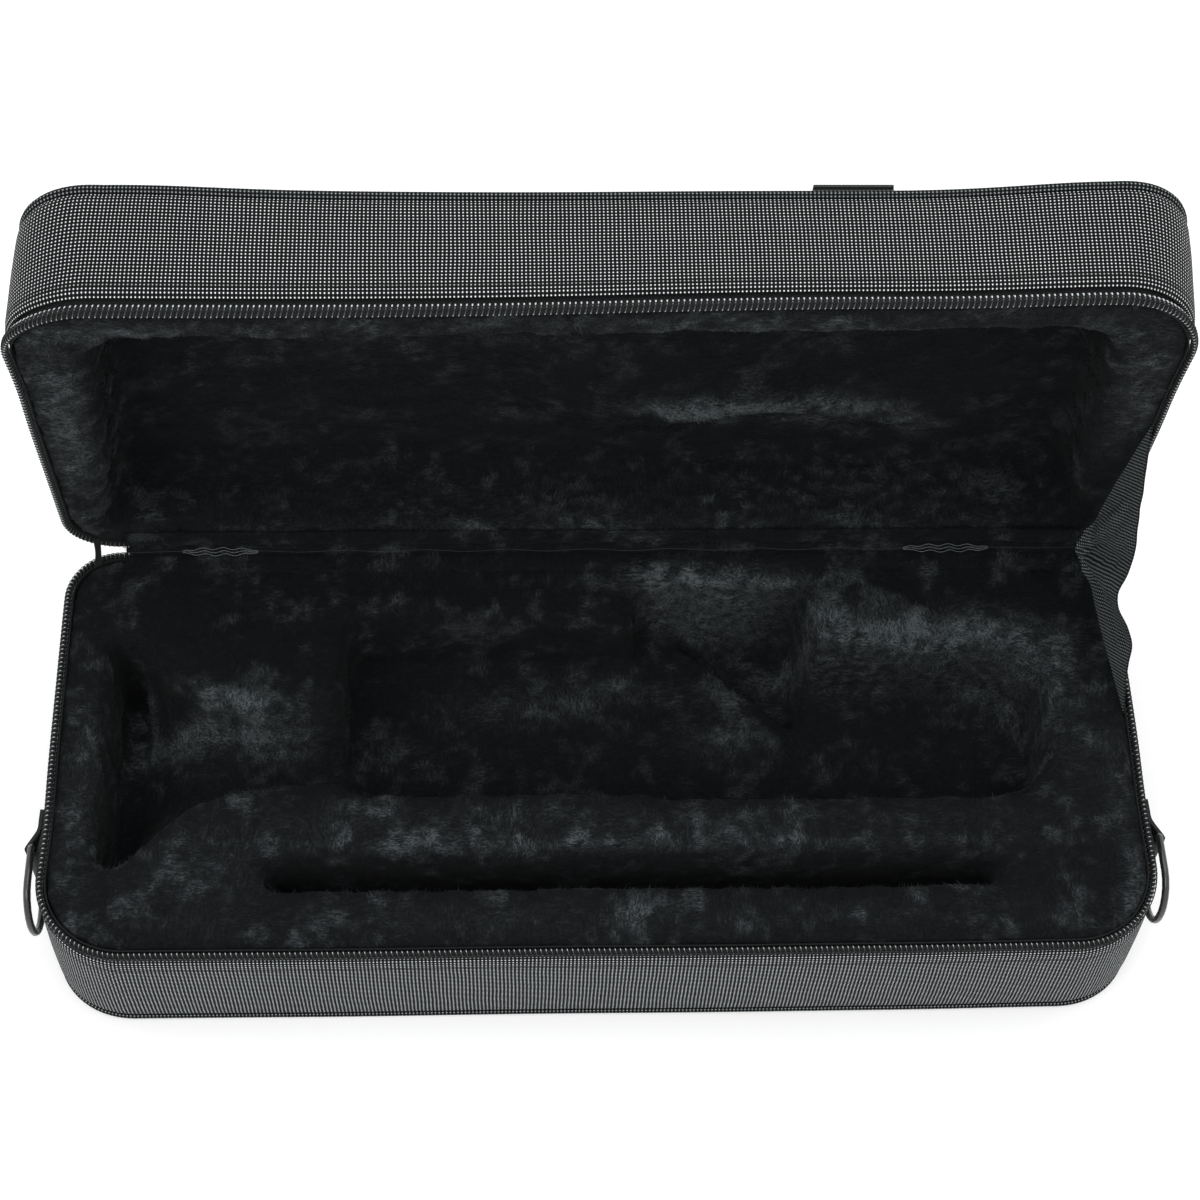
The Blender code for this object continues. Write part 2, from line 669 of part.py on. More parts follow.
def ribbon_rings(path, thickness, low, high, side_x):
    """Section outline of a ribbon standing between two heights, following a plan path."""
    left, right = [], []
    for i, point in enumerate(path):
        before = Vector(path[max(i - 1, 0)])
        after = Vector(path[min(i + 1, len(path) - 1)])
        along = (after - before).normalized()
        normal = Vector((-along.y, along.x)) * thickness / 2
        left.append(Vector(point) + normal)
        right.append(Vector(point) - normal)
    outline = left + list(reversed(right))
    rings = []
    for z in (low, high):
        rings.append([(side_x * (LENGTH / 2 + p.y), -p.x, z) for p in outline])
    return rings


def ring_centre_line():
    """The ring's wire in its own plane: a straight bar and a round bow, as (reach, height)."""
    half = RING_BAR / 2
    bow = half * RING_BOW_SHARE
    points = []
    for k in range(BEND_STEPS + 1):
        angle = math.pi - math.pi / 2 * k / BEND_STEPS
        points.append((RING_BEND + RING_BEND * math.cos(angle), half - RING_BEND + RING_BEND * math.sin(angle)))
    for k in range(RING_STEPS + 1):
        angle = math.pi / 2 - math.pi * k / RING_STEPS
        points.append((RING_REACH - bow + bow * math.cos(angle), half * math.sin(angle)))
    for k in range(BEND_STEPS + 1):
        angle = -math.pi / 2 - math.pi / 2 * k / BEND_STEPS
        points.append((RING_BEND + RING_BEND * math.cos(angle), RING_BEND - half + RING_BEND * math.sin(angle)))
    return points


def build_ring(side_name, side_x, parent):
    top = -RING_DROP - RING_WIRE / 2
    middle = top - RING_BAR / 2
    reach_up = WEBBING / 2 - RING_WIRE / 2 - GAP
    rings = ribbon_rings(tab_path(), WEBBING_THICKNESS, middle - reach_up, middle + reach_up, side_x)
    loft(f"ring_tab_{side_name}", rings, parent, BLACK_TAPE)
    centre = Vector((side_x * (LENGTH / 2 + RING_STAND), -RING_S, middle))
    out = Vector((side_x, 0.0, 0.0))
    line = ring_centre_line()
    rings = []
    for i, (reach, up) in enumerate(line):
        before, after = line[i - 1], line[(i + 1) % len(line)]
        along = Vector((0.0, before[0] - after[0], after[1] - before[1])).normalized()
        across = along.cross(out).normalized()
        ring = []
        for k in range(WIRE_SIDES):
            angle = math.tau * k / WIRE_SIDES
            push = across * math.cos(angle) + out * math.sin(angle)
            ring.append(Vector((0.0, -reach, up)) + push * (RING_WIRE / 2))
        rings.append(ring)
    loft(f"strap_ring_{side_name}", rings, parent, BLACK_STEEL, closed_path=True, location=centre)


# Zip ends and sliders


def box_rings(x0, x1, y0, y1, z0, z1):
    ring = [(y0, z0), (y1, z0), (y1, z1), (y0, z1)]
    return [[(x, y, z) for y, z in ring] for x in (x0, x1)]


def build_zip_end(side_name, side_x, parent):
    """The closed end of the zip, sewn to the base's back wall under the hinge."""
    start = side_x * ZIP_END_X
    end = side_x * (ZIP_END_X - ZIP_END_LENGTH)
    half_chain = CHAIN_WIDTH / 2
    half_tape = half_chain + ZIP_END_MARGIN
    face = GAP + TAPE_THICKNESS
    shoulder = face + COIL_THICKNESS * 0.5
    crown = face + COIL_THICKNESS
    upper = [(crown, half_chain * 0.7), (shoulder, half_chain), (face, half_chain), (face, half_tape),
             (GAP, half_tape)]
    profile = [(y, -z) for y, z in reversed(upper)] + upper
    rings = [[(x, y, z - ZIP_END_DROP) for y, z in profile] for x in (start, end)]
    loft(f"zip_end_{side_name}", rings, parent, BLACK_TAPE)


def slider_place(side_x):
    """Centre of a parked slider along the wall, one small gap from the zip's bottom stop."""
    stop = ZIP_END_X - ZIP_END_LENGTH
    return side_x * (stop + SLIDER_LENGTH / 2 + SLIDER_STOP_GAP)


def slider_top():
    return 3 * GAP + TAPE_THICKNESS + COIL_THICKNESS + SLIDER_WALL


def build_slider(side_name, side_x, parent):
    """Slider body: a waisted plan, hollowed to run over the chain, with a bridge for the pull."""
    x = slider_place(side_x)
    floor = 2 * GAP + TAPE_THICKNESS
    top = slider_top()
    chain_top = top - SLIDER_WALL
    inside = CHAIN_WIDTH / 2 + GAP
    narrow = inside + SLIDER_WALL
    wide = SLIDER_WIDTH / 2
    rings = []
    for k in range(SLIDER_STEPS + 1):
        share = k / SLIDER_STEPS
        along = SLIDER_LENGTH * (share - 0.5)
        bulge = narrow + max(wide - narrow, 0.0) * math.sin(math.pi * min(share * 1.15, 1.0))
        section = [
            (floor, -bulge), (top - SLIDER_BEVEL, -bulge), (top, SLIDER_BEVEL - bulge),
            (top, bulge - SLIDER_BEVEL), (top - SLIDER_BEVEL, bulge), (floor, bulge),
            (floor, inside), (chain_top, inside), (chain_top, -inside), (floor, -inside),
        ]
        rings.append([(x + side_x * along, y, z - ZIP_END_DROP) for y, z in section])
    body = loft(f"slider_{side_name}", rings, parent, BLACK_STEEL)
    foot = top - BRIDGE_FOOT
    under = top + BRIDGE_RISE
    crest = under + BRIDGE_BAR
    half = SLIDER_LENGTH / 2
    right = [(foot, half * 0.55), (crest, half * 0.35)]
    arch = [(under, half * 0.12), (foot, half * 0.30)]
    profile = right + [(y, -v) for y, v in reversed(right)] + [(y, -v) for y, v in reversed(arch)] + arch
    rings = []
    for w in (-BRIDGE_WIDTH / 2, BRIDGE_WIDTH / 2):
        rings.append([(x + side_x * v, y, w - ZIP_END_DROP) for y, v in profile])
    combine(body, loft(f"slider_{side_name}_bridge", rings, parent, None), "UNION")


def build_pull(side_name, side_x, parent):
    """Pull tab: a flat plate whose eye takes the slider's bridge; its bar lies under the bridge."""
    bar = PULL_THICKNESS / 2
    height = slider_top() + BRIDGE_RISE - GAP - bar
    pivot = Vector((slider_place(side_x), height, -ZIP_END_DROP))
    half = PULL_WIDTH / 2
    tip = PULL_LENGTH
    outline = [(-bar, -half), (tip - half, -half), (tip, -half * 0.5), (tip, half * 0.5), (tip - half, half),
               (-bar, half)]
    rings = [[(-side_x * v, y, w) for v, w in outline] for y in (-bar, bar)]
    body = loft(f"pull_{side_name}", rings, parent, BLACK_STEEL, location=pivot)
    eye = BRIDGE_WIDTH / 2 + PULL_EYE_MARGIN
    hole = [(bar, -eye), (bar + PULL_EYE_LENGTH, -eye), (bar + PULL_EYE_LENGTH, eye), (bar, eye)]
    rings = [[(-side_x * v, y, w) for v, w in hole] for y in (-PULL_THICKNESS, PULL_THICKNESS)]
    combine(body, loft(f"pull_{side_name}_eye", rings, parent, None, location=pivot), "DIFFERENCE")


# Handle on the lid's outer panel


def build_handle_patch(side_name, side_x, parent):
    """Webbing sewn to the panel, from its foot to just under the fold."""
    low = LID_HEIGHT + GAP
    x = side_x * HANDLE_X
    half = WEBBING / 2
    rings = box_rings(x - half, x + half, -HANDLE_PATCH_TOP, -HANDLE_PATCH_FOOT, low, low + WEBBING_THICKNESS)
    loft(f"handle_patch_{side_name}", rings, parent, BLACK_TAPE)


def handle_line(fold):
    """Right half of the loop, from its fold to the middle: place about the pivot, normal, half width.

    Places and normals are (x, y, h) in the lid's rim coordinates.
    """
    line = []
    for k in range(FOLD_STEPS + 1):
        angle = -math.pi / 2 + math.pi * k / FOLD_STEPS
        normal = Vector((0.0, -math.cos(angle), math.sin(angle)))
        line.append((Vector((HANDLE_X, 0.0, 0.0)) + normal * fold, normal, WEBBING / 2))
    up = Vector((0.0, 0.0, 1.0))
    centre = Vector((HANDLE_X - HANDLE_CORNER, HANDLE_DROP - HANDLE_CORNER, fold))
    for k in range(CORNER_STEPS + 1):
        share = k / CORNER_STEPS
        angle = math.pi / 2 * share
        place = centre + Vector((math.cos(angle), math.sin(angle), 0.0)) * HANDLE_CORNER
        line.append((place, up, (WEBBING + (HANDLE_NECK - WEBBING) * share) / 2))
    return line


def build_handle(parent):
    """Webbing loop that swings on its two folds, and the padded grip round its middle."""
    fold = HANDLE_FOLD_RADIUS + WEBBING_THICKNESS / 2
    seat = LID_HEIGHT + 2 * GAP + WEBBING_THICKNESS
    pivot = Vector((0.0, -HANDLE_PATCH_TOP + fold, seat + WEBBING_THICKNESS / 2 + fold))
    right = handle_line(fold)
    flip = Vector((-1.0, 1.0, 1.0))
    line = right + [(place * flip, normal, half) for place, normal, half in reversed(right)]
    rings = []
    for i, (place, normal, half) in enumerate(line):
        before, after = line[max(i - 1, 0)][0], line[min(i + 1, len(line) - 1)][0]
        along = after - before
        across = normal.cross(along).normalized() * half
        thick = normal * (WEBBING_THICKNESS / 2)
        rings.append([place - across - thick, place + across - thick, place + across + thick, place - across + thick])
    loft("handle_loop", rings, parent, BLACK_TAPE, location=pivot)
    build_grip(pivot, Vector((0.0, HANDLE_DROP, fold)), parent)


def build_grip(pivot, middle, parent):
    """A padded sleeve round the loop's straight stretch."""
    half = GRIP_LENGTH / 2
    ends = half - GRIP_END_LENGTH
    stations = [(-half, GRIP_END_TAPER), (-ends, 0.0), (ends, 0.0), (half, GRIP_END_TAPER)]
    rings = []
    for x, taper in stations:
        rings.append(grip_section(middle, x, GRIP_WIDTH / 2 - taper, GRIP_THICKNESS / 2 - taper))
    for x in (half, -half):
        slot = (HANDLE_NECK / 2 + GAP, WEBBING_THICKNESS / 2 + GAP)
        rings.append([middle + Vector((x, slot[0] * a, slot[1] * b)) for a, b in SLOT_CORNERS])
    loft("handle_grip", rings, parent, BLACK_TAPE, closed_path=True, location=pivot)


def grip_section(middle, x, half_width, half_thickness):
    """Rounded section of the grip, with as many points as the slot through it."""
    section = []
    for a, b in GRIP_CORNERS:
        section.append(middle + Vector((x, half_width * a, half_thickness * b)))
    return section


def main():
    clear_scene()
    base = add_frame("base_frame", 0.0)
    lid = add_frame("lid_frame", -OPEN_ANGLE)
    build_cover("base", BASE_HEIGHT, -1.0, base)
    build_zip_half("base", -1.0, base)
    build_base_lining(base)
    build_cover("lid", LID_HEIGHT, 1.0, lid)
    build_zip_half("lid", 1.0, lid)
    build_lid_lining(lid)
    build_hinge(base)
    build_gusset(base)
    for side_name, side_x in (("left", -1.0), ("right", 1.0)):
        build_ring(side_name, side_x, base)
        build_zip_end(side_name, side_x, base)
        build_slider(side_name, side_x, base)
        build_pull(side_name, side_x, base)
        build_handle_patch(side_name, side_x, lid)
    build_handle(lid)


main()
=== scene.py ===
"""Looks of the trumpet gig bag: woven cover, zip, plush lining with brushing and painted light and shade,
hinge, stay, rings and carry handle.

Metres, in the frame's axes. Both halves are laid out in rim coordinates: x along the bag, y from the hinge
line (negative towards the front) and h, the depth from the rim plane into the half.
"""

import json
import math
import random

import bpy
from mathutils import Matrix, Vector, noise

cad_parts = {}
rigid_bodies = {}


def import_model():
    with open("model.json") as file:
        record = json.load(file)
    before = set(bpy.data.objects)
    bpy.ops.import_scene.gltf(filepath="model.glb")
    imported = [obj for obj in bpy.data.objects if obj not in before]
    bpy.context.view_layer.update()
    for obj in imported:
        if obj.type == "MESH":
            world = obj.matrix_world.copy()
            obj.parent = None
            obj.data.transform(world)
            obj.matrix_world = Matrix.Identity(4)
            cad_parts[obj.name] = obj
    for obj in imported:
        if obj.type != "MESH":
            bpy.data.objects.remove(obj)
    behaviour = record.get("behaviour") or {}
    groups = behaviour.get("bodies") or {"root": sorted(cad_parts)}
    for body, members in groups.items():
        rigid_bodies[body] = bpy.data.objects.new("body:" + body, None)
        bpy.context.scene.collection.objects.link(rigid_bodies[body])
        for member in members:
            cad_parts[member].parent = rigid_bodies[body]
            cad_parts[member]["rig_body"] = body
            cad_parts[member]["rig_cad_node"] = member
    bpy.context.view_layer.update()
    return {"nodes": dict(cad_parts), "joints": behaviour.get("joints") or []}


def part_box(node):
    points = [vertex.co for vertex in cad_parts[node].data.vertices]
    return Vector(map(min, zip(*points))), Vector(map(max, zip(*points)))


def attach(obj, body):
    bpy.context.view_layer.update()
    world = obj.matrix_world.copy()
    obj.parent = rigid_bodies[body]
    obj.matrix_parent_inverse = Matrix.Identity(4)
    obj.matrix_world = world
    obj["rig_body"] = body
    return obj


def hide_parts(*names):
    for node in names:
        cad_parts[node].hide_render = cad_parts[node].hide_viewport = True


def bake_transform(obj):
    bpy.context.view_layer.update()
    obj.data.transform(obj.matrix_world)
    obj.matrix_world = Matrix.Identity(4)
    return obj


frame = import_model()

# The bag's outline, read from the frame
LID_HINGE = next(j for j in frame["joints"] if j["name"] == "lid_hinge")
HINGE = Vector(LID_HINGE["pos_m"])
OPEN_ANGLE = math.radians(LID_HINGE["range_deg"][1])
BAND_LOW, BAND_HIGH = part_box("base_side_band")
LENGTH = BAND_HIGH.x - BAND_LOW.x
DEPTH = BAND_HIGH.y - BAND_LOW.y
HEIGHT = {"base": HINGE.z, "lid": 0.066}
BACK_RADIUS = 0.028
FRONT_RADIUS = 0.045
ZIP_END_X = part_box("zip_end_right")[1].x

# How the cover strays from that outline: the lid's front bows, its rim drops and rolls, its left wall leans
STRAY_OUT = 0.0011
STRAY_ALONG = 0.0012
BOW_RIGHT = 0.0034
BOW_RIGHT_PANEL = 0.0046
BOW_LEFT_PANEL = 0.0044
RIM_DROP = 0.0045
RIM_ROLL = 0.0016
WALL_LEAN = 0.0060
CORNER_PUSH = {"base": 0.0018, "lid": 0.0044}

# Cover and zip
BAND_START = {"base": 0.0081, "lid": 0.0100}
BAND_THICKNESS = 0.0022
PIPING_RADIUS = 0.0025
PANEL_THICKNESS = 0.0030
PANEL_NODE = {"base": "base_bottom_panel", "lid": "lid_top_panel"}
PANEL_UNEVENNESS = {"base": 0.0, "lid": 0.0005}
COIL_WIDTH = 0.0068
COIL_DEPTH = 0.0036
COIL_PITCH = 0.0026
COIL_WIRE = 0.00048
COIL_MIDDLE = 0.0003 + COIL_WIDTH / 2
TAPE_INSET = 0.0039
TAPE_THICKNESS = 0.0008
TAPE_END = 0.0178
ZIP_END_DROP = 0.018
WEAVE_ACROSS = 0.0019
WEAVE_UP = 0.00172
STEP = 0.004

# Lining: voxel of its remesh, blades of pile, and the lid's arched lip
LINING_VOXEL = 0.0021
PILE_BLADES = 70000
FLAP_BLADES = 12000
PILE_SEED = {"base": 5, "lid": 6}
SOFTENING = {"base": 16, "lid": 7}
LIP_MIDDLE = 0.108
LIP_REACH = 0.065
LIP_LINE = 0.088

# Rings, stay, hinge and handle, in rim coordinates
RING_PLACE = 0.158
RING_BACK = 0.168
RING_MIDDLE = 0.0324
RING_STAND = 0.0058
RING_REACH = 0.036
RING_HALF = 0.021
RING_CORNER = 0.0036
RING_WIRE = 0.0019
TAB_HALF = 0.0166
TAB_LOOP = 0.0031
WEB_THICKNESS = 0.0018
WEB_HALF = 0.019
STAY_REACH = {"base": 0.103, "lid": 0.125}
STAY_INSET = 0.0052
STAY_WIDTH = 0.098
CREASE_ENDS = (-0.2500, 0.2630)
CREASE_BEND = 0.004
GATHER_WAVE = 0.0106
GATHER_SWING = 0.00060
GATHER_GAP = 0.0017
HANDLE_X = 0.118
HANDLE_TOP = 0.2184
HANDLE_STAND = 0.0719
HANDLE_FOLD = 0.0026
HANDLE_DROP = 0.096
HANDLE_CORNER = 0.050
GRIP_HALF = (0.055, 0.016, 0.006)

# Colours as they look, 0 to 255
WEAVE_DOT = (232, 236, 238)
WEAVE_GROUND = (34, 37, 38)
CRISP_DOT = (252, 254, 255)
CRISP_GROUND = (25, 27, 28)
WEAVE_HOLE = (6, 7, 7)
PIPING_DOT = (158, 164, 166)
PIPING_GROUND = (24, 26, 27)
STAY_DOT = (182, 190, 192)
STAY_GROUND = (52, 57, 58)
PLUSH_DARK = (15, 16, 18)
PLUSH_LIGHT = (82, 88, 90)
TAPE_BLACK = (13, 14, 15)
COIL_DARK = (22, 24, 25)
# COIL_PALE: the coil's painted highlights, and the pale flecks of the closed chain.
COIL_PALE = (236, 243, 245)
WEBBING_BLACK = (21, 23, 24)
ENAMEL_BLACK = (14, 15, 16)

# Work in the viewport
ALONG_X = (0.0, math.pi / 2, 0.0)
WELD = 0.00002


# Small helpers for work in the viewport's way


def deselect():
    bpy.ops.object.select_all(action="DESELECT")


def take(obj):
    """Make obj the only selected and active object."""
    deselect()
    obj.select_set(True)
    bpy.context.view_layer.objects.active = obj


def just_added(name):
    obj = bpy.context.object
    obj.name = name
    obj.data.name = name
    return obj


def add(name, primitive, **settings):
    """Add an object with nothing else selected."""
    deselect()
    primitive(**settings)
    return just_added(name)


def add_grid(name, columns, rows, **settings):
    """A grid one metre square, still to be laid out."""
    return add(name, bpy.ops.mesh.primitive_grid_add, x_subdivisions=columns, y_subdivisions=rows, size=1.0,
               **settings)


def add_rod(name, sides, radius, length, place=(0.0, 0.0, 0.0), turn=ALONG_X, ends="NGON"):
    obj = add(name, bpy.ops.mesh.primitive_cylinder_add, vertices=sides, radius=radius, depth=length,
              end_fill_type=ends, location=place, rotation=turn)
    settle_transform(obj)
    return obj


def settle_transform(obj):
    take(obj)
    bpy.ops.object.transform_apply(location=True, rotation=True, scale=True)


def apply_modifier(obj, kind, **settings):
    take(obj)
    bpy.ops.object.modifier_add(type=kind)
    modifier = obj.modifiers[-1]
    for key, value in settings.items():
        setattr(modifier, key, value)
    bpy.ops.object.modifier_apply(modifier=modifier.name)


def repeat(obj, count, step, welded=False):
    """Repeat the mesh, a step apart."""
    apply_modifier(obj, "ARRAY", count=count, use_relative_offset=False, use_constant_offset=True,
                   constant_offset_displace=step, use_merge_vertices=welded, merge_threshold=WELD)


def edit_all(obj, *steps):
    """Run edit mode steps with everything selected."""
    take(obj)
    bpy.ops.object.mode_set(mode="EDIT")
    bpy.ops.mesh.select_all(action="SELECT")
    for step in steps:
        step()
    bpy.ops.object.mode_set(mode="OBJECT")


def merge(distance=WELD):
    return lambda: bpy.ops.mesh.remove_doubles(threshold=distance)


def face_out():
    bpy.ops.mesh.normals_make_consistent(inside=False)


def cut_across(obj, length, parts):
    """Cut a rod that lies along x, with its middle at the origin, into equal parts."""
    for cut in range(1, parts):
        place = length * (cut / parts - 0.5)
        edit_all(obj, lambda: bpy.ops.mesh.bisect(plane_co=(place, 0, 0), plane_no=(1, 0, 0)))


def smooth(obj, degrees=60):
    take(obj)
    bpy.ops.object.shade_smooth_by_angle(angle=math.radians(degrees))


def thicken(obj, thickness, offset=0.0, degrees=60):
    """Give laid cloth its thickness."""
    apply_modifier(obj, "SOLIDIFY", thickness=thickness, offset=offset)
    edit_all(obj, face_out)
    smooth(obj, degrees)


def to_wire(name, radius, resolution):
    """Make the active curve a wire, as a mesh."""
    curve = bpy.context.object.data
    curve.bevel_depth = radius
    curve.bevel_resolution = resolution
    bpy.ops.object.convert(target="MESH")
    return just_added(name)


def wire_turn(name, deep, wide):
    """One closed turn of the zip's wire, standing across the zip."""
    obj = add(name, bpy.ops.curve.primitive_bezier_circle_add, radius=1.0, rotation=ALONG_X)
    obj.data.resolution_u = 3
    bpy.ops.object.transform_apply(location=False, rotation=True, scale=False)
    obj.scale = (1.0, deep, wide)
    bpy.ops.object.transform_apply(location=False, rotation=False, scale=True)
    return to_wire(name, COIL_WIRE, 1)


def each_vertex(obj, place):
    for vertex in obj.data.vertices:
        vertex.co = place(vertex.co)


def join(objects, name):
    deselect()
    for obj in objects:
        obj.select_set(True)
    bpy.context.view_layer.objects.active = objects[0]
    bpy.ops.object.join()
    return just_added(name)


def copy_of_node(name, new_name):
    """A merged copy of a CAD node, for reshaping."""
    take(frame["nodes"][name])
    bpy.ops.object.duplicate()
    copy = just_added(new_name)
    copy.parent = None
    copy.matrix_world = Matrix.Identity(4)
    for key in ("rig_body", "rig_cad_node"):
        if key in copy:
            del copy[key]
    copy.data.materials.clear()
    edit_all(copy, merge(0.00005))
    return copy


def ramp(value, low, high):
    """0 below low, 1 above high, eased in between."""
    share = max(0.0, min(1.0, (value - low) / (high - low)))
    return share * share * (3.0 - 2.0 * share)


def ripple(*spot):
    return noise.noise(Vector(spot))


def bell(value, middle, reach):
    """1 at the middle, falling away to both sides."""
    return math.exp(-((value - middle) / reach) ** 2)


# The outline, and pieces that run along it


def outline_at(distance):
    """Point and outward direction of the outline, counted from the middle of the hinge to the left."""
    back = LENGTH / 2 - BACK_RADIUS
    back_turn = BACK_RADIUS * math.pi / 2
    side = DEPTH - BACK_RADIUS - FRONT_RADIUS
    front_turn = FRONT_RADIUS * math.pi / 2
    half = back + back_turn + side + front_turn + LENGTH / 2 - FRONT_RADIUS
    distance = distance % (2 * half)
    flip = 1.0
    if distance > half:
        distance = 2 * half - distance
        flip = -1.0
    if distance < back:
        point, out = Vector((-distance, 0.0)), Vector((0.0, 1.0))
    elif distance < back + back_turn:
        angle = math.pi / 2 + (distance - back) / BACK_RADIUS
        out = Vector((math.cos(angle), math.sin(angle)))
        point = Vector((-back, -BACK_RADIUS)) + out * BACK_RADIUS
    elif distance < back + back_turn + side:
        point = Vector((-LENGTH / 2, -BACK_RADIUS - (distance - back - back_turn)))
        out = Vector((-1.0, 0.0))
    elif distance < half - (LENGTH / 2 - FRONT_RADIUS):
        angle = math.pi + (distance - back - back_turn - side) / FRONT_RADIUS
        out = Vector((math.cos(angle), math.sin(angle)))
        point = Vector((FRONT_RADIUS - LENGTH / 2, FRONT_RADIUS - DEPTH)) + out * FRONT_RADIUS
    else:
        point = Vector((distance - half, -DEPTH))
        out = Vector((0.0, -1.0))
    return Vector((point.x * flip, point.y)), Vector((out.x * flip, out.y))


def outline_length():
    straight = 2 * (LENGTH + DEPTH) - 4 * (BACK_RADIUS + FRONT_RADIUS)
    return straight + math.pi * (BACK_RADIUS + FRONT_RADIUS)


def rim_distance(spot):
    """How far a place lies inside the outline."""
    x, y = abs(spot.x), spot.y
    radius = FRONT_RADIUS if y < -DEPTH / 2 else BACK_RADIUS
    from_side = LENGTH / 2 - x
    from_end = y + DEPTH if y < -DEPTH / 2 else -y
    if from_side < radius and from_end < radius:
        return radius - math.hypot(radius - from_side, radius - from_end)
    return min(from_side, from_end)


def rim_to_world(x, y, h, half):
    if half == "base":
        return Vector((x, HINGE.y + y, HINGE.z - h))
    turn = Matrix.Rotation(-OPEN_ANGLE, 3, "X")
    return HINGE + turn @ Vector((x, y, h))


def world_to_rim(place, half):
    if half == "base":
        return Vector((place.x, place.y - HINGE.y, HINGE.z - place.z))
    return Matrix.Rotation(OPEN_ANGLE, 3, "X") @ (place - HINGE)


def soft_stray(point, half):
    """How far the soft cover strays from its true outline at one place: outwards, and along h."""
    seed = 3.0 if half == "base" else 11.0
    out = ripple(point.x * 7.0, point.y * 7.0, seed) * STRAY_OUT
    along = ripple(point.x * 5.0, point.y * 5.0, seed + 5.0) * STRAY_ALONG
    return out, along


def lid_stray(x, half, h):
    """How far the lid's front edge bows outwards, its rim rolls forward and its left wall leans in."""
    if half == "base":
        return 0.0, 0.0, 0.0
    up = h / HEIGHT["lid"]
    at_left = ramp(-x, -0.14, 0.20)
    right = (BOW_RIGHT + BOW_RIGHT_PANEL * up) * bell(x, 0.240, 0.062)
    left = BOW_LEFT_PANEL * up * bell(x, -0.225, 0.060)
    bow = right + left - RIM_DROP * (1.0 - up) * at_left
    roll = RIM_ROLL * at_left * (1.0 - up)
    return bow, roll, WALL_LEAN * up * ramp(-x, LENGTH * 0.30, LENGTH * 0.48)


def corner_push(out, point, h, half):
    """The front corners are rounder at the rim than at the panel."""
    if point.y > -DEPTH / 2:
        return 0.0
    return CORNER_PUSH[half] * (2.0 * abs(out.x * out.y)) ** 1.3 * ramp(h, 0.006, HEIGHT[half])


def cover_spot(point, out, stand, h, half):
    """Where the cover lies at depth h when it stands out from the outline, and how far its rim rolls."""
    bow, roll, lean = lid_stray(point.x, half, h)
    at_front = ramp(-out.y, 0.0, 1.0)
    spot = point + out * (stand + corner_push(out, point, h, half))
    return spot + Vector((lean, -bow * at_front)), roll * at_front


def wrap(obj, half):
    """Lay a straight strip (x along, y outwards, z into the half) round the outline of a half."""

    def place(co):
        point, out = outline_at(co.x)
        stray, along = soft_stray(point, half)
        at_ring = bell(point.y, -RING_PLACE, 0.030) if abs(point.x) > LENGTH * 0.45 else 0.0
        stand = co.y + stray * (1.0 - at_ring) - 0.0009 * at_ring
        spot, roll = cover_spot(point, out, stand, co.z, half)
        away_from_hinge = ramp(-point.y, 0.004, 0.050)
        return rim_to_world(spot.x, spot.y, co.z + along * away_from_hinge - roll, half)

    each_vertex(obj, place)
    edit_all(obj, merge(), face_out)


def uv_data(obj):
    layer = obj.data.uv_layers.active or obj.data.uv_layers.new(name="UVMap")
    layer.name = "UVMap"
    return layer.data


def lay_uv(obj, spot):
    """UV in metres, which spot gives for the place of a vertex."""
    data = uv_data(obj)
    for loop in obj.data.loops:
        data[loop.index].uv = spot(obj.data.vertices[loop.vertex_index].co)


def lay_uv_round(obj, y, z, radius):
    """UV in metres along a cord and round its middle line, with no jump inside a face."""
    data = uv_data(obj)
    for polygon in obj.data.polygons:
        middle = math.atan2(polygon.center.z - z, polygon.center.y - y)
        for loop in polygon.loop_indices:
            co = obj.data.vertices[obj.data.loops[loop].vertex_index].co
            angle = math.atan2(co.z - z, co.y - y)
            angle = middle + (angle - middle + math.pi) % math.tau - math.pi
            data[loop].uv = (co.x, angle * radius)


def strip(name, start, end, low, high, outwards, thickness, rows):
    """A band of cloth, straight as cut. outwards gives how far it stands out at a share of its width."""
    length, width = end - start, high - low
    obj = add_grid(name, round(length / STEP), rows, location=((start + end) / 2, 0.0, (low + high) / 2),
                   rotation=(math.pi / 2, 0.0, 0.0))
    obj.scale = (length, width, 1.0)
    settle_transform(obj)
    each_vertex(obj, lambda co: Vector((co.x, co.y + outwards((co.z - low) / width), co.z)))
    lay_uv(obj, lambda co: (co.x, co.z))
    edit_all(obj, bpy.ops.mesh.flip_normals)
    apply_modifier(obj, "SOLIDIFY", thickness=thickness, offset=-1.0)
    return obj


def band_swell(share):
    """The band rolls in at the zip, swells a little and tucks in at the piping."""
    hem = -0.0016 * math.exp(-share / 0.030)
    tuck = -0.0013 * math.exp(-(1.0 - share) / 0.030)
    return 0.0006 * math.sin(math.pi * share) + hem + tuck


# Shader maths


class Value:
    """A shader socket that takes arithmetic, each operator adding its Math node."""

    def __init__(self, nodes, socket):
        self.nodes = nodes
        self.socket = socket

    def math(self, operation, *values):
        return self.nodes.node("ShaderNodeMath", {"operation": operation}, dict(enumerate((self, *values))))

    def __add__(self, other):
        return self.math("ADD", other)

    __radd__ = __add__

    def __sub__(self, other):
        return self.math("SUBTRACT", other)

    def __rsub__(self, other):
        return self.nodes.node("ShaderNodeMath", {"operation": "SUBTRACT"}, {0: other, 1: self})

    def __mul__(self, other):
        return self.math("MULTIPLY", other)

    __rmul__ = __mul__

    def wave(self, pitch):
        """Ribs a pitch apart."""
        return (self * (math.tau / pitch)).math("COSINE")

    def between(self, low, high):
        """0 below low, 1 above high, eased in between."""
        settings = {"interpolation_type": "SMOOTHSTEP"}
        return self.nodes.node("ShaderNodeMapRange", settings, {0: self, 1: low, 2: high, 3: 0.0, 4: 1.0})


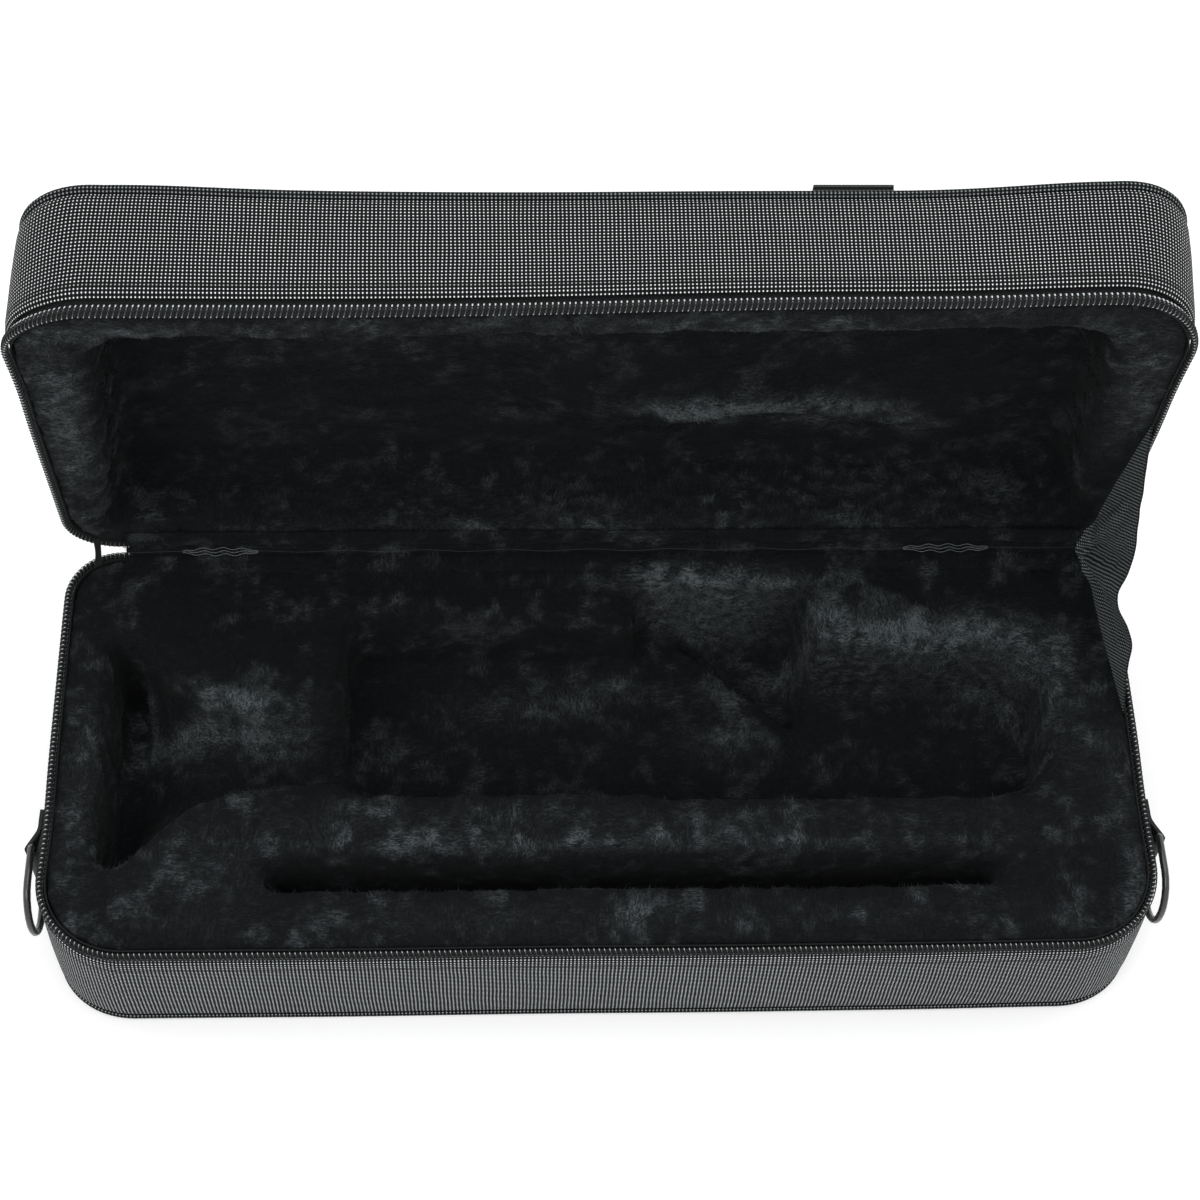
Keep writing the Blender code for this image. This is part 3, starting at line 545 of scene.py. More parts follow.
def linear(colour):
    """A colour as it looks, 0 to 255, as the shader's linear value."""
    steps = [c / 255.0 for c in colour]
    return tuple(c / 12.92 if c <= 0.04045 else ((c + 0.055) / 1.055) ** 2.4 for c in steps) + (1.0,)


class Nodes:
    """A node tree, and its output's surface."""

    def __init__(self, tree, output):
        self.tree = tree
        self.surface = tree.nodes[output].inputs["Surface"]

    def fill(self, target, value):
        if isinstance(value, Value):
            self.tree.links.new(value.socket, target)
        else:
            target.default_value = value

    def node(self, kind, settings=None, sockets=None, out=0):
        made = self.tree.nodes.new(kind)
        for key, value in (settings or {}).items():
            setattr(made, key, value)
        for key, value in (sockets or {}).items():
            self.fill(made.inputs[key], value)
        return Value(self, made.outputs[out])

    def made_with(self, name):
        """The first output of a node that the tree starts with."""
        return Value(self, self.tree.nodes[name].outputs[0])


class Finish(Nodes):
    """A material on its Principled BSDF."""

    def __init__(self, name, **constants):
        self.material = bpy.data.materials.new(name)
        self.material.use_nodes = True
        super().__init__(self.material.node_tree, "Material Output")
        self.shader = self.tree.nodes["Principled BSDF"]
        for key, value in constants.items():
            self.shader.inputs[key.replace("_", " ").title().replace("Ior", "IOR")].default_value = value

    def mix(self, factor, first, second):
        settings = {"data_type": "RGBA"}
        return self.node("ShaderNodeMix", settings, {0: factor, 6: first, 7: second}, out=2)

    def place(self, scale=(1.0, 1.0, 1.0), turn=(0.0, 0.0, 0.0)):
        spot = self.node("ShaderNodeTexCoord", out="Object")
        return self.node("ShaderNodeMapping", {}, {"Vector": spot, "Rotation": turn, "Scale": scale})

    def noise(self, where, scale, detail=2.0, warp=0.0):
        sockets = {"Vector": where, "Scale": scale, "Detail": detail, "Distortion": warp}
        return self.node("ShaderNodeTexNoise", {}, sockets)

    def split(self, vector):
        made = self.node("ShaderNodeSeparateXYZ", {}, {0: vector})
        return [Value(self, output) for output in made.socket.node.outputs]

    def bump(self, height, distance, strength):
        sockets = {"Height": height, "Distance": distance, "Strength": strength}
        self.fill(self.shader.inputs["Normal"], self.node("ShaderNodeBump", {}, sockets))

    def colour(self, value):
        self.fill(self.shader.inputs["Base Color"], value)

    def rough(self, value):
        self.fill(self.shader.inputs["Roughness"], value)

    def dress(self, tone, first, second, rough, height, distance, strength):
        """A colour between two, a roughness and a relief."""
        self.colour(self.mix(tone, linear(first), linear(second)))
        self.rough(rough)
        self.bump(height, distance, strength)
        return self.material


def dotted_weave(name, dot, ground, stitched_at=None, narrow=(0.80, 1.50)):
    """Two-tone ballistic weave: pale floats in rows on a dark ground, with dark gaps between them."""
    finish = Finish(name, specular_ior_level=0.12)
    across, up, _ = finish.split(finish.node("ShaderNodeUVMap", {"uv_map": "UVMap"}))
    spot = finish.place()
    drift = finish.noise(spot, 30.0) - 0.5
    field = (across + drift * 0.0012).wave(WEAVE_ACROSS) + up.wave(WEAVE_UP) * 0.9
    fibre = finish.noise(spot, 2600.0, 1.0)
    tone = finish.noise(spot, 120.0, 3.0)
    bright = field.between(*narrow) * (0.78 + 0.3 * fibre) * (0.8 + 0.4 * tone)
    dark = (0.0 - field).between(0.20, 1.2)
    hole = linear(WEAVE_HOLE)
    cloth = finish.mix(bright, finish.mix(dark, linear(ground), hole), linear(dot))
    height = field * 0.5 + fibre * 0.3
    if stitched_at is not None:
        line = 1.0 - (up - stitched_at).math("ABSOLUTE").between(0.0002, 0.0011)
        height = height - line * 1.6
        # Painted shade: below its hem the band is painted near black, where it rolls in at the zip.
        hem = BAND_START["base"]
        hem_shade = 1.0 - up.between(hem + 0.0002, hem + 0.0010)
        cloth = finish.mix(hem_shade, finish.mix(line * 0.55, cloth, hole), hole)
    finish.colour(cloth)
    finish.rough(0.62 + 0.25 * dark)
    finish.bump(height, 0.00022, 0.8)
    return finish.material


def plush_brushed_and_lit(name, streaked):
    """Short pile: near black where it lies one way, greyer where it stands up from brushing and where
    highlights are painted on, darker where shade is painted in, with fine streaks.
    """
    finish = Finish(name, specular_ior_level=0.0, sheen_weight=0.03, sheen_roughness=0.5)
    brushed_and_lit = finish.node("ShaderNodeAttribute", {"attribute_name": "brushed_and_lit"}, out="Fac")
    if streaked:
        strand = finish.noise(finish.place((1.0, 0.30, 1.0), (0.2, 0.3, 0.5)), 900.0, 3.0, 1.4)
        cross = finish.noise(finish.place((0.32, 1.0, 0.8), (0.1, 0.2, -0.6)), 800.0, 3.0, 1.4)
        side = finish.noise(finish.place(), 33.0, 1.0).between(0.42, 0.58)
        streak = strand * side + cross * (1.0 - side)
        brushed_and_lit = brushed_and_lit * (0.25 + 1.2 * streak.between(0.34, 0.68)) + 0.10 * streak.between(0.45, 0.75)
        finish.bump(streak, 0.0010, 0.6)
    # The attribute carries brushing together with painted highlights and painted shade.
    finish.colour(finish.mix(brushed_and_lit.between(-0.15, 1.15), linear(PLUSH_DARK), linear(PLUSH_LIGHT)))
    finish.rough(0.95 - 0.05 * brushed_and_lit)
    return finish.material


def fine_tape():
    finish = Finish("zip_tape_cloth", specular_ior_level=0.25)
    spot = finish.place()
    x, y, z = finish.split(spot)
    rib = (x + y).wave(0.0007) * z.wave(0.0009)
    fuzz = finish.noise(spot, 1500.0)
    tone = (rib * 0.25 + fuzz).between(0.2, 1.1)
    return finish.dress(tone, TAPE_BLACK, (36, 38, 39), 0.85, rib * 0.5 + fuzz, 0.00015, 0.6)


def coil_plastic(name, across_width=None):
    """Smoked nylon, dark and flecked: with a width across, painted highlights where a turn bends at the tape
    and at its head, dark between.
    """
    finish = Finish(name, coat_weight=0.3, coat_roughness=0.2, specular_ior_level=0.4)
    speck = finish.noise(finish.place(), 700.0)
    tone = 0.35 + 0.5 * speck
    if across_width:
        _, up, _ = finish.split(finish.node("ShaderNodeUVMap", {"uv_map": "UVMap"}))
        # Painted highlights: each turn is painted pale at its bend by the tape and at its head.
        tape_bend_highlight = up.between(across_width * 0.46, across_width * 0.74)
        head_highlight = 1.0 - up.between(across_width * 0.07, across_width * 0.16)
        tone = (tape_bend_highlight + 0.7 * head_highlight + 0.06) * (0.65 + 0.5 * speck)
    finish.colour(finish.mix(tone.between(-0.1, 1.1), linear(COIL_DARK), linear(COIL_PALE)))
    finish.rough(0.26 + 0.2 * speck)
    return finish.material


def sewing_thread(name, colour):
    finish = Finish(name, specular_ior_level=0.3)
    twist = finish.noise(finish.place(), 3200.0, 1.0)
    return finish.dress(twist, colour, [c * 0.45 for c in colour], 0.7, twist, 0.0001, 0.6)


def webbing():
    """Ribbed nylon webbing in black."""
    finish = Finish("black_webbing", specular_ior_level=0.4, sheen_weight=0.06)
    spot = finish.place()
    x, y, z = finish.split(spot)
    rib = z.wave(0.0016)
    fuzz = finish.noise(spot, 1800.0)
    relief = rib * 0.5 + rib * (x + y).wave(0.0022) * 0.4 + fuzz * 0.5
    tone = relief.between(-0.4, 1.1)
    return finish.dress(tone, (10, 11, 11), (44, 47, 48), 0.58 + 0.2 * fuzz, relief, 0.0003, 0.8)


def padded_cloth():
    finish = Finish("padded_grip_cloth", specular_ior_level=0.35, sheen_weight=0.08)
    spot = finish.place()
    x, y, z = finish.split(spot)
    weave = x.wave(0.0011) * (y + z).wave(0.0011)
    fuzz = finish.noise(spot, 1400.0)
    tone = (weave * 0.4 + fuzz).between(0.1, 1.2)
    return finish.dress(tone, WEBBING_BLACK, (50, 53, 54), 0.72, weave * 0.6 + fuzz * 0.6, 0.0002, 0.7)


def enamel():
    finish = Finish("black_enamel", coat_weight=0.6, coat_roughness=0.08)
    speck = finish.noise(finish.place(), 300.0, 3.0)
    return finish.dress(speck, ENAMEL_BLACK, (30, 32, 33), 0.14 + 0.22 * speck, speck, 0.00006, 0.3)


WEAVE = dotted_weave("two_tone_weave", WEAVE_DOT, WEAVE_GROUND)
PIPING_WEAVE = dotted_weave("two_tone_weave_piping", PIPING_DOT, PIPING_GROUND)
BAND_WEAVE = {
    "base": dotted_weave("two_tone_weave_base", WEAVE_DOT, WEAVE_GROUND, 0.0172),
    "lid": dotted_weave("two_tone_weave_lid", CRISP_DOT, CRISP_GROUND, 0.0150, (1.00, 1.62)),
}
STAY_WEAVE = dotted_weave("stay_weave", STAY_DOT, STAY_GROUND)
PLUSH = plush_brushed_and_lit("plush_brushed_and_lit", True)
PILE = plush_brushed_and_lit("plush_pile", False)
TAPE = fine_tape()
COIL = coil_plastic("zip_coil_plastic", COIL_WIDTH)
CHAIN = coil_plastic("closed_chain_plastic")
GATHER_THREAD = sewing_thread("gather_thread_grey", (150, 157, 159))
CREASE_THREAD = sewing_thread("crease_thread_dark_grey", (60, 64, 65))
DARK_THREAD = sewing_thread("dark_thread", (40, 43, 44))
WEBBING = webbing()
GRIP_CLOTH = padded_cloth()
ENAMEL = enamel()


def finish_piece(obj, material, body, slot, *nodes, reach=None):
    """With a reach, the piece crosses the hinge and stays where it is laid, attached to neither half."""
    obj.data.materials.clear()
    obj.data.materials.append(material)
    if reach:
        start = HINGE + Vector((0.0, -reach, 0.0))
        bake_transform(obj)
    else:
        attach(obj, body)
    if nodes:
        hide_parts(*nodes)


# Cover


def make_band(half):
    end = HEIGHT[half] - 2 * PIPING_RADIUS - 0.0004
    start = BAND_START[half]
    obj = strip(f"{half}_band_cloth", 0.0, outline_length(), start, end, band_swell, BAND_THICKNESS, 22)
    wrap(obj, half)
    smooth(obj, 50)
    finish_piece(obj, BAND_WEAVE[half], half, "woven_nylon", f"{half}_side_band")


def make_piping(half):
    """A covered cord between the band and the panel."""
    h = HEIGHT[half] - PIPING_RADIUS - 0.0003
    count = round(outline_length() / STEP)
    step = outline_length() / count
    place = (step / 2, -PIPING_RADIUS, h)
    obj = add_rod(f"{half}_piping_cord", 14, PIPING_RADIUS, step, place, ends="NOTHING")
    repeat(obj, count, (step, 0.0, 0.0), welded=True)
    lay_uv_round(obj, -PIPING_RADIUS, h, PIPING_RADIUS)
    wrap(obj, half)
    smooth(obj)
    finish_piece(obj, PIPING_WEAVE, half, "woven_nylon", f"{half}_piping")


def make_panel(half):
    """The large outer panel, laid in rings from its seam to its middle line, uneven over the lid's foam."""
    length = outline_length()
    obj = add_grid(f"{half}_panel_cloth", round(length / 0.006), 26)
    seam = 2 * PIPING_RADIUS - 0.0006
    reach = (LENGTH - DEPTH) / 2

    def place(co):
        share = co.y + 0.5
        point, out = outline_at((co.x + 0.5) * length)
        edge, _ = cover_spot(point, out, -seam, HEIGHT[half], half)
        spot = edge.lerp(Vector((max(-reach, min(reach, point.x)), -DEPTH / 2)), share)
        inside = share * DEPTH / 2
        rise = 0.0019 * ramp(inside, 0.0, 0.004)
        wide = ripple(spot.x * 16.0, spot.y * 16.0, 1.0) - 0.8
        sink = PANEL_UNEVENNESS[half] * ramp(inside, 0.008, 0.040) * wide
        return Vector((spot.x, spot.y, HEIGHT[half] - 0.0020 + rise + sink))

    each_vertex(obj, place)
    edit_all(obj, merge(0.0002), face_out)
    lay_uv(obj, lambda co: (co.x, co.y))
    apply_modifier(obj, "SOLIDIFY", thickness=PANEL_THICKNESS, offset=-1.0)
    each_vertex(obj, lambda co: rim_to_world(co.x, co.y, co.z, half))
    edit_all(obj, face_out)
    smooth(obj)
    finish_piece(obj, WEAVE, half, "woven_nylon", PANEL_NODE[half])


# Zip


# Distances along the outline at which the zip starts and ends, either side of the hinge
ZIP_START = ZIP_END_X
ZIP_STOP = outline_length() - ZIP_END_X
TURNS = int((ZIP_STOP - ZIP_START) / COIL_PITCH)


def make_tape(half):
    obj = strip(f"{half}_tape_cloth", ZIP_START, ZIP_STOP, COIL_WIDTH * 0.35, TAPE_END,
                lambda share: -TAPE_INSET, TAPE_THICKNESS, 4)
    wrap(obj, half)
    finish_piece(obj, TAPE, half, "zip_tape", f"{half}_zip_tape")


def make_coil(half):
    """One turn of the coil, arrayed along the tape."""
    obj = wire_turn(f"{half}_coil_teeth", COIL_DEPTH / 2 - COIL_WIRE, COIL_WIDTH / 2 - COIL_WIRE)
    first = Vector((ZIP_START + COIL_PITCH, -COIL_DEPTH / 2, COIL_MIDDLE))

    def lean(co):
        """A turn leans along the zip and is thicker where it bends at the tape."""
        head = max(0.0, co.z / (COIL_WIDTH / 2))
        return first + Vector((co.x * (1.0 + 0.9 * head ** 3) + co.z * 0.16 + co.y * 0.25, co.y, co.z))

    each_vertex(obj, lean)
    repeat(obj, TURNS, (COIL_PITCH, 0.0, 0.0))
    lay_uv(obj, lambda co: (co.x, co.z))
    wrap(obj, half)
    smooth(obj)
    finish_piece(obj, COIL, half, "zip_coil", f"{half}_zip_coil")


def make_coil_core(half):
    """The dark filler cord inside the coil."""
    count = round((ZIP_STOP - ZIP_START) / STEP)
    step = (ZIP_STOP - ZIP_START) / count
    obj = add_rod(f"{half}_coil_core", 10, 1.0, step, (ZIP_START + step / 2, 0.0, 0.0), ends="NOTHING")
    wide, deep = COIL_WIDTH / 2 - 1.5 * COIL_WIRE, COIL_DEPTH / 2 - 1.4 * COIL_WIRE
    each_vertex(obj, lambda co: Vector((co.x, co.y * deep - COIL_DEPTH / 2, co.z * wide + COIL_MIDDLE)))
    repeat(obj, count, (step, 0.0, 0.0), welded=True)
    wrap(obj, half)
    smooth(obj)
    finish_piece(obj, TAPE, half, "zip_coil")


def make_coil_stitches(half):
    """Two rows of thread that hold the coil to its tape."""
    rows = []
    for lean, h in ((0.31, COIL_WIDTH * 0.42), (-0.31, COIL_WIDTH * 0.62)):
        turn = (0.0, math.pi / 2 + lean, 0.0)
        place = (ZIP_START + COIL_PITCH, -0.00005, h)
        obj = add_rod("stitch_row", 6, 0.00026, COIL_PITCH * 1.02, place, turn)
        repeat(obj, TURNS, (COIL_PITCH, 0.0, 0.0))
        rows.append(obj)
    obj = join(rows, f"{half}_coil_stitches")
    wrap(obj, half)
    finish_piece(obj, DARK_THREAD, half, "zip_tape")


# Lining

# Places where the pile stands up from brushing and where highlights are painted on lit lips and slopes, in
# millimetres: x, distance from the hinge, reach along x and across.
# The last value is how far it is painted lighter, and is negative where the pile is painted darker, which
# under the lid's arched lip is painted shadow.
BRUSHED_AND_LIT = {
    "base": (
        (62, 19, 52, 6, 0.75), (165, 50, 60, 11, 0.78), (125, 38, 20, 10, 0.35), (228, 64, 22, 22, 0.40),
        (244, 100, 14, 34, 0.26), (-240, 76, 8, 20, 0.46), (-208, 94, 34, 8, 0.72),
        (-166, 103, 20, 7, 0.50), (-204, 62, 32, 14, -0.36), (10, 60, 30, 8, 0.28), (76, 66, 8, 20, 0.30),
        (66, 92, 20, 10, 0.25), (-40, 70, 40, 12, 0.22), (0, 160, 260, 10, 0.16), (0, 173, 190, 4, 0.32),
        (-262, 140, 10, 70, 0.20), (266, 150, 8, 60, 0.16), (-200, 190, 30, 12, 0.24),
        (0, 214, 260, 10, 0.14),
    ),
    "lid": (
        (-262, 130, 12, 70, 0.62), (-232, 214, 46, 6, 0.42), (0, 220, 260, 6, 0.20),
        (172, 196, 24, 10, 0.45), (120, 204, 40, 8, 0.24), (262, 150, 12, 60, 0.28), (52, 88, 26, 6, 0.66),
        (99, 94, 44, 6, 0.90), (146, 86, 24, 7, 0.80), (172, 74, 12, 10, 0.66), (188, 64, 10, 8, 0.50),
        (105, 80, 46, 5, -0.30), (122, 56, 22, 10, 0.40), (78, 62, 14, 10, 0.30), (170, 50, 12, 12, 0.36),
        (0, 208, 260, 2.8, 0.34), (0, 12, 260, 6, 0.16), (-120, 140, 50, 20, 0.14),
    ),
}


def make_lining(half):
    """The lining and its foam as one body, remeshed evenly, softened, with the relief of a short pile."""
    lining = copy_of_node(f"{half}_plush_lining", f"{half}_lining_plush")
    core = copy_of_node(f"{half}_foam_core", "core_copy")
    obj = join([lining, core], f"{half}_lining_plush")
    take(obj)
    obj.data.remesh_voxel_size = LINING_VOXEL
    obj.data.use_remesh_preserve_volume = False
    bpy.ops.object.voxel_remesh()
    drop_hidden_faces(obj, half)
    inside = obj.vertex_groups.new(name="inside")
    for vertex in obj.data.vertices:
        spot = world_to_rim(vertex.co, half)
        inside.add([vertex.index], ramp(rim_distance(spot), 0.008, 0.016), "REPLACE")
    apply_modifier(obj, "SMOOTH", factor=0.5, iterations=3)
    apply_modifier(obj, "SMOOTH", factor=0.5, iterations=SOFTENING[half], vertex_group="inside")
    obj.vertex_groups.clear()
    brush_pile_and_paint_light(obj, half)
    smooth(obj, 180)
    finish_piece(obj, PLUSH, half, "plush", f"{half}_plush_lining", f"{half}_foam_core")
    blades = pile_blades(obj, f"{half}_lining_pile", PILE_BLADES, PILE_SEED[half])
    finish_piece(blades, PILE, half, "plush")


def drop_hidden_faces(obj, half):
    """Leave out the body's underside and outer walls, which the cover hides."""
    edge = 0.0060
    bottom = HEIGHT[half] - 0.0075
    take(obj)
    bpy.ops.object.mode_set(mode="EDIT")
    bpy.ops.mesh.select_mode(type="FACE")
    bpy.ops.mesh.select_all(action="DESELECT")
    bpy.ops.object.mode_set(mode="OBJECT")
    for polygon in obj.data.polygons:
        spot = world_to_rim(polygon.center, half)
        polygon.select = spot.z > bottom or (spot.z > 0.012 and rim_distance(spot) < edge)
    bpy.ops.object.mode_set(mode="EDIT")
    bpy.ops.mesh.delete(type="FACE")
    bpy.ops.object.mode_set(mode="OBJECT")


def lip_sag(spot, half):
    """The arched lip in the lid has sunk towards the hinge, most at its ends, and to the left."""
    if half == "base":
        return Vector((0.0, 0.0, 0.0))
    along = (spot.x - LIP_MIDDLE) / LIP_REACH
    window = math.exp(-along ** 4 / 8.0 - ((spot.y + LIP_LINE) / 0.032) ** 2)
    return Vector((-0.012, 0.008 + 0.011 * along ** 2, -0.004)) * window


def brush_pile_and_paint_light(obj, half):
    """Relief of the pile, and how far it stands up from brushing together with painted light and shade, kept
    in the attribute the plush finish reads.
    """
    mesh = obj.data
    mesh.update()
    brushed_and_lit = mesh.attributes.new("brushed_and_lit", "FLOAT", "POINT")
    places = [([value / 1000 for value in row[:4]], row[4]) for row in BRUSHED_AND_LIT[half]]
    normals = [vertex.normal.copy() for vertex in mesh.vertices]
    for vertex, normal in zip(mesh.vertices, normals):
        spot = world_to_rim(vertex.co, half)
        wide = noise.noise(vertex.co * 24.0)
        near = noise.noise(vertex.co * 70.0)
        clump = noise.noise(vertex.co * 210.0)
        lift_and_light = 0.36 * ramp(wide * 0.26 + near * 0.44 + clump * 0.36, -0.04, 0.48)
        # Painted shade: the pile is painted darker the deeper it lies in the hollows.
        lift_and_light *= 1.0 - 0.30 * ramp(spot.z, 0.015, 0.045)
        for (x, s, reach_x, reach_s), strength in places:
            away = ((spot.x - x) / reach_x) ** 2 + ((-spot.y - s + 0.004 * near) / reach_s) ** 2
            lift_and_light += strength * math.exp(-away) * (0.85 + 0.7 * clump + 0.4 * near)
        brushed_and_lit.data[vertex.index].value = max(0.0, min(1.2, lift_and_light))
        tuft = ripple(vertex.co.x * 480.0, vertex.co.y * 300.0, vertex.co.z * 480.0)
        edge = ramp(rim_distance(spot), 0.006, 0.014)
        at_front = ramp(-spot.y, 0.17, 0.225)
        bow, roll, lean = lid_stray(spot.x, half, spot.z)
        sag = lip_sag(spot, half)
        move = rim_to_world(lean + sag.x, sag.y - bow * at_front, sag.z - roll * at_front, half) - HINGE
        vertex.co = vertex.co + move + normal * (0.00055 * clump + 0.00050 * tuft + 0.0014 * near * edge)


def pile_blades(lining, name, count, seed):
    """Blades of pile lying over the lining, combed in slow swirls. They are cut too fine for the tools."""
    seeded = random.Random(seed)
    polygons = lining.data.polygons
    brushed_and_lit = lining.data.attributes["brushed_and_lit"].data
    points, tones = [], []
    for index in range(count):
        polygon = polygons[int(index * len(polygons) / count)]
        root, normal = polygon.center.copy(), polygon.normal
        guide = Vector((0.3, -0.2, 1.0)) if abs(normal.z) < 0.7 else Vector((0.2, 1.0, 0.0))
        along = (guide - normal * guide.dot(normal)).normalized()
        swirl = noise.noise(root * 30.0) * 4.0 + noise.noise(root * 95.0) * 1.6 + seeded.gauss(0.0, 0.35)
        way = along * math.cos(swirl) + normal.cross(along) * math.sin(swirl)
        length = 0.0022 + 0.0022 * seeded.random()
        across = normal.cross(way) * (0.00028 + 0.00022 * seeded.random())
        root = root - normal * 0.0004
        tip = root + way * length + normal * length * (0.16 + 0.34 * seeded.random())
        points += [root - across, root + across, tip]
        # Each blade takes the painted light and shade of the lining under it; its root is painted darker
        # than its tip, painted shade down in the pile.
        tone = brushed_and_lit[polygon.vertices[0]].value
        tone = tone * (0.35 + 1.1 * seeded.random()) + 0.05 * seeded.random()
        tones += [tone * 0.7, tone * 0.7, tone * 1.25]
    mesh = bpy.data.meshes.new(name)
    mesh.from_pydata(points, [], [(k, k + 1, k + 2) for k in range(0, len(points), 3)])
    mesh.attributes.new("brushed_and_lit", "FLOAT", "POINT").data.foreach_set("value", tones)
    obj = bpy.data.objects.new(name, mesh)
    bpy.context.scene.collection.objects.link(obj)
    return obj


# Hinge, with its inner flap


def crease_strip(name, profile, ends_at, thickness, wave, right_lift=0.0):
    """A strip along the hinge. profile gives distance from the hinge and h, from an edge to the crease."""
    left, right = ends_at
    line = [("base", s, h) for s, h in profile] + [("lid", s, h) for s, h in reversed(profile)]
    obj = add_grid(name, 170, 24)

    def place(co):
        share = (co.y + 0.5) * (len(line) - 1)
        index = min(int(share), len(line) - 2)
        x = left + (right - left) * (co.x + 0.5)
        ends = [rim_to_world(x, -s, h, half) for half, s, h in line[index:index + 2]]
        uneven = ripple(x * 60.0, co.y * 3.0, 4.0) + 0.5 * ripple(x * 170.0, co.y * 5.0, 8.0)
        stand = uneven * wave + right_lift * ramp(x, 0.220, 0.234)
        return ends[0].lerp(ends[1], share - index) + Vector((0.0, -0.7, 0.7)) * stand

    lay_uv(obj, lambda co: (co.x * (right - left), co.y * 0.022))
    each_vertex(obj, place)
    apply_modifier(obj, "SMOOTH", factor=0.5, iterations=2)
    thicken(obj, thickness, 1.0)
    return obj


def make_hinge():
    outer = ((0.0003, 0.0120), (0.0003, 0.0060), (0.0002, 0.0034))
    outer_strip = crease_strip("hinge_outer_strip", outer, (-0.248, 0.248), 0.0006, 0.0001)
    finish_piece(outer_strip, STAY_WEAVE, "base", "woven_nylon", "hinge_strip", reach=CREASE_BEND)
    inner = ((0.0130, 0.0042), (0.0100, 0.0026), (0.0060, 0.0019), (0.0032, 0.0020), (0.0018, 0.0027))
    flap = crease_strip("hinge_plush_flap", inner, CREASE_ENDS, 0.0010, 0.0006, right_lift=0.0042)
    brush_pile_and_paint_light(flap, "base")
    blades = pile_blades(flap, "hinge_pile", FLAP_BLADES, 7)
    finish_piece(flap, PLUSH, "base", "plush", "hinge_lining", reach=CREASE_BEND)
    finish_piece(blades, PILE, "base", "plush", reach=CREASE_BEND)
    make_gather("crease_gather_left", -0.199, 0.040, range(3), GATHER_THREAD)
    make_gather("crease_gather_right", 0.190, 0.046, range(3), GATHER_THREAD)
    left, right = CREASE_ENDS
    make_gather("crease_seam_thread", (left + right) / 2, right - left, (1,), CREASE_THREAD)


def make_gather(name, middle, length, threads, material):
    """Threads that gather the lining along the crease, in waves."""
    up = Vector((0.0, 0.7071, 0.7071))
    out = Vector((0.0, -0.7071, 0.7071))
    rows = []
    for row in threads:
        obj = add_rod("gather_thread", 6, 0.00012, length)
        cut_across(obj, length, 60)

        def wave(co, row=row):
            taper = 1.0 - 0.75 * abs(2.0 * co.x / length) ** 3
            across = (row - 1) * GATHER_GAP * taper
            swing = math.sin(co.x * math.tau / GATHER_WAVE + row * 0.4) * GATHER_SWING * taper
            spot = Vector((co.x + middle, co.y + across + swing, co.z))
            return HINGE + Vector((spot.x, -0.0036, 0.0034)) + up * spot.y + out * spot.z

        each_vertex(obj, wave)
        rows.append(obj)
    finish_piece(join(rows, name), material, "base", "woven_nylon", reach=CREASE_BEND)


# Stay on the right side


def seam_place(distance, half, inset=0.0):
    point, out = outline_at(distance)
    spot = point - out * (STAY_INSET + inset)
    return rim_to_world(spot.x, spot.y, 0.0022 - inset * 0.15, half)


def stay_edge(share, half):
    """Place on the seam that holds the stay, from its hinge end (0) to its free edge (1)."""
    straight = LENGTH / 2 - BACK_RADIUS
    first = straight + BACK_RADIUS * math.radians(24.0)
    last = straight + BACK_RADIUS * math.pi / 2 + STAY_REACH[half] - BACK_RADIUS
    drawn_in = 0.0070 * math.sin(math.pi * share ** 0.5)
    return seam_place(outline_length() - (first + (last - first) * share), half, drawn_in)


def stay_fold(share, across):
    """How far the stay is drawn in, towards the middle of the bag."""
    arch = math.sin(math.pi * across)
    free = 0.0072 * bell(across, 0.41, 0.085) + 0.0028 * arch - 0.0026 * bell(across, 0.25, 0.07)
    inner = 0.0016 * math.sin(across * 17.0 + share * 3.0) * arch
    inner += 0.0005 * math.sin(across * 41.0 - share * 7.0) * arch
    return free * share ** 0.8 + inner * math.sin(math.pi * share) ** 0.7


def make_stay():
    obj = add_grid("stay_cloth", 44, 64)
    places = []
    for vertex in obj.data.vertices:
        share, across = vertex.co.x + 0.5, vertex.co.y + 0.5
        low, high = stay_edge(share, "base"), stay_edge(share, "lid")
        crumple = ripple(share * 9.0, across * 16.0, 2.0) * 0.0012 * math.sin(math.pi * across)
        spot = low.lerp(high, across) - Vector((stay_fold(share, across) + crumple, 0.0, 0.0))
        places.append((spot, (share * STAY_WIDTH, (across - 0.5) * (high - low).length)))
    data = uv_data(obj)
    for loop in obj.data.loops:
        data[loop.index].uv = places[loop.vertex_index][1]
    for vertex, (spot, _) in zip(obj.data.vertices, places):
        vertex.co = spot
    apply_modifier(obj, "SMOOTH", factor=0.5, iterations=1)
    thicken(obj, 0.0009)
    finish_piece(obj, STAY_WEAVE, "base", "woven_nylon", "stay_gusset", reach=0.030)


def make_corner_tie():
    """The scrap of tape that closes the back left corner, outside the small gap beside the hinge."""
    obj = add_grid("corner_tie_cloth", 6, 14)
    lay_uv(obj, lambda co: (co.x * 0.006, co.y * 0.02))
    first = LENGTH / 2 - BACK_RADIUS + BACK_RADIUS * math.radians(27.0)

    def place(co):
        distance = first + 0.0055 * (co.x + 0.5)
        low, high = seam_place(distance, "base"), seam_place(distance, "lid")
        pucker = 0.0012 * math.sin(math.pi * (co.y + 0.5)) * (co.x + 0.5)
        return low.lerp(high, co.y + 0.5) + Vector((pucker, 0.0, 0.0))

    each_vertex(obj, place)
    thicken(obj, 0.0010)
    finish_piece(obj, TAPE, "base", "woven_nylon", reach=0.012)


# Rings and their tabs


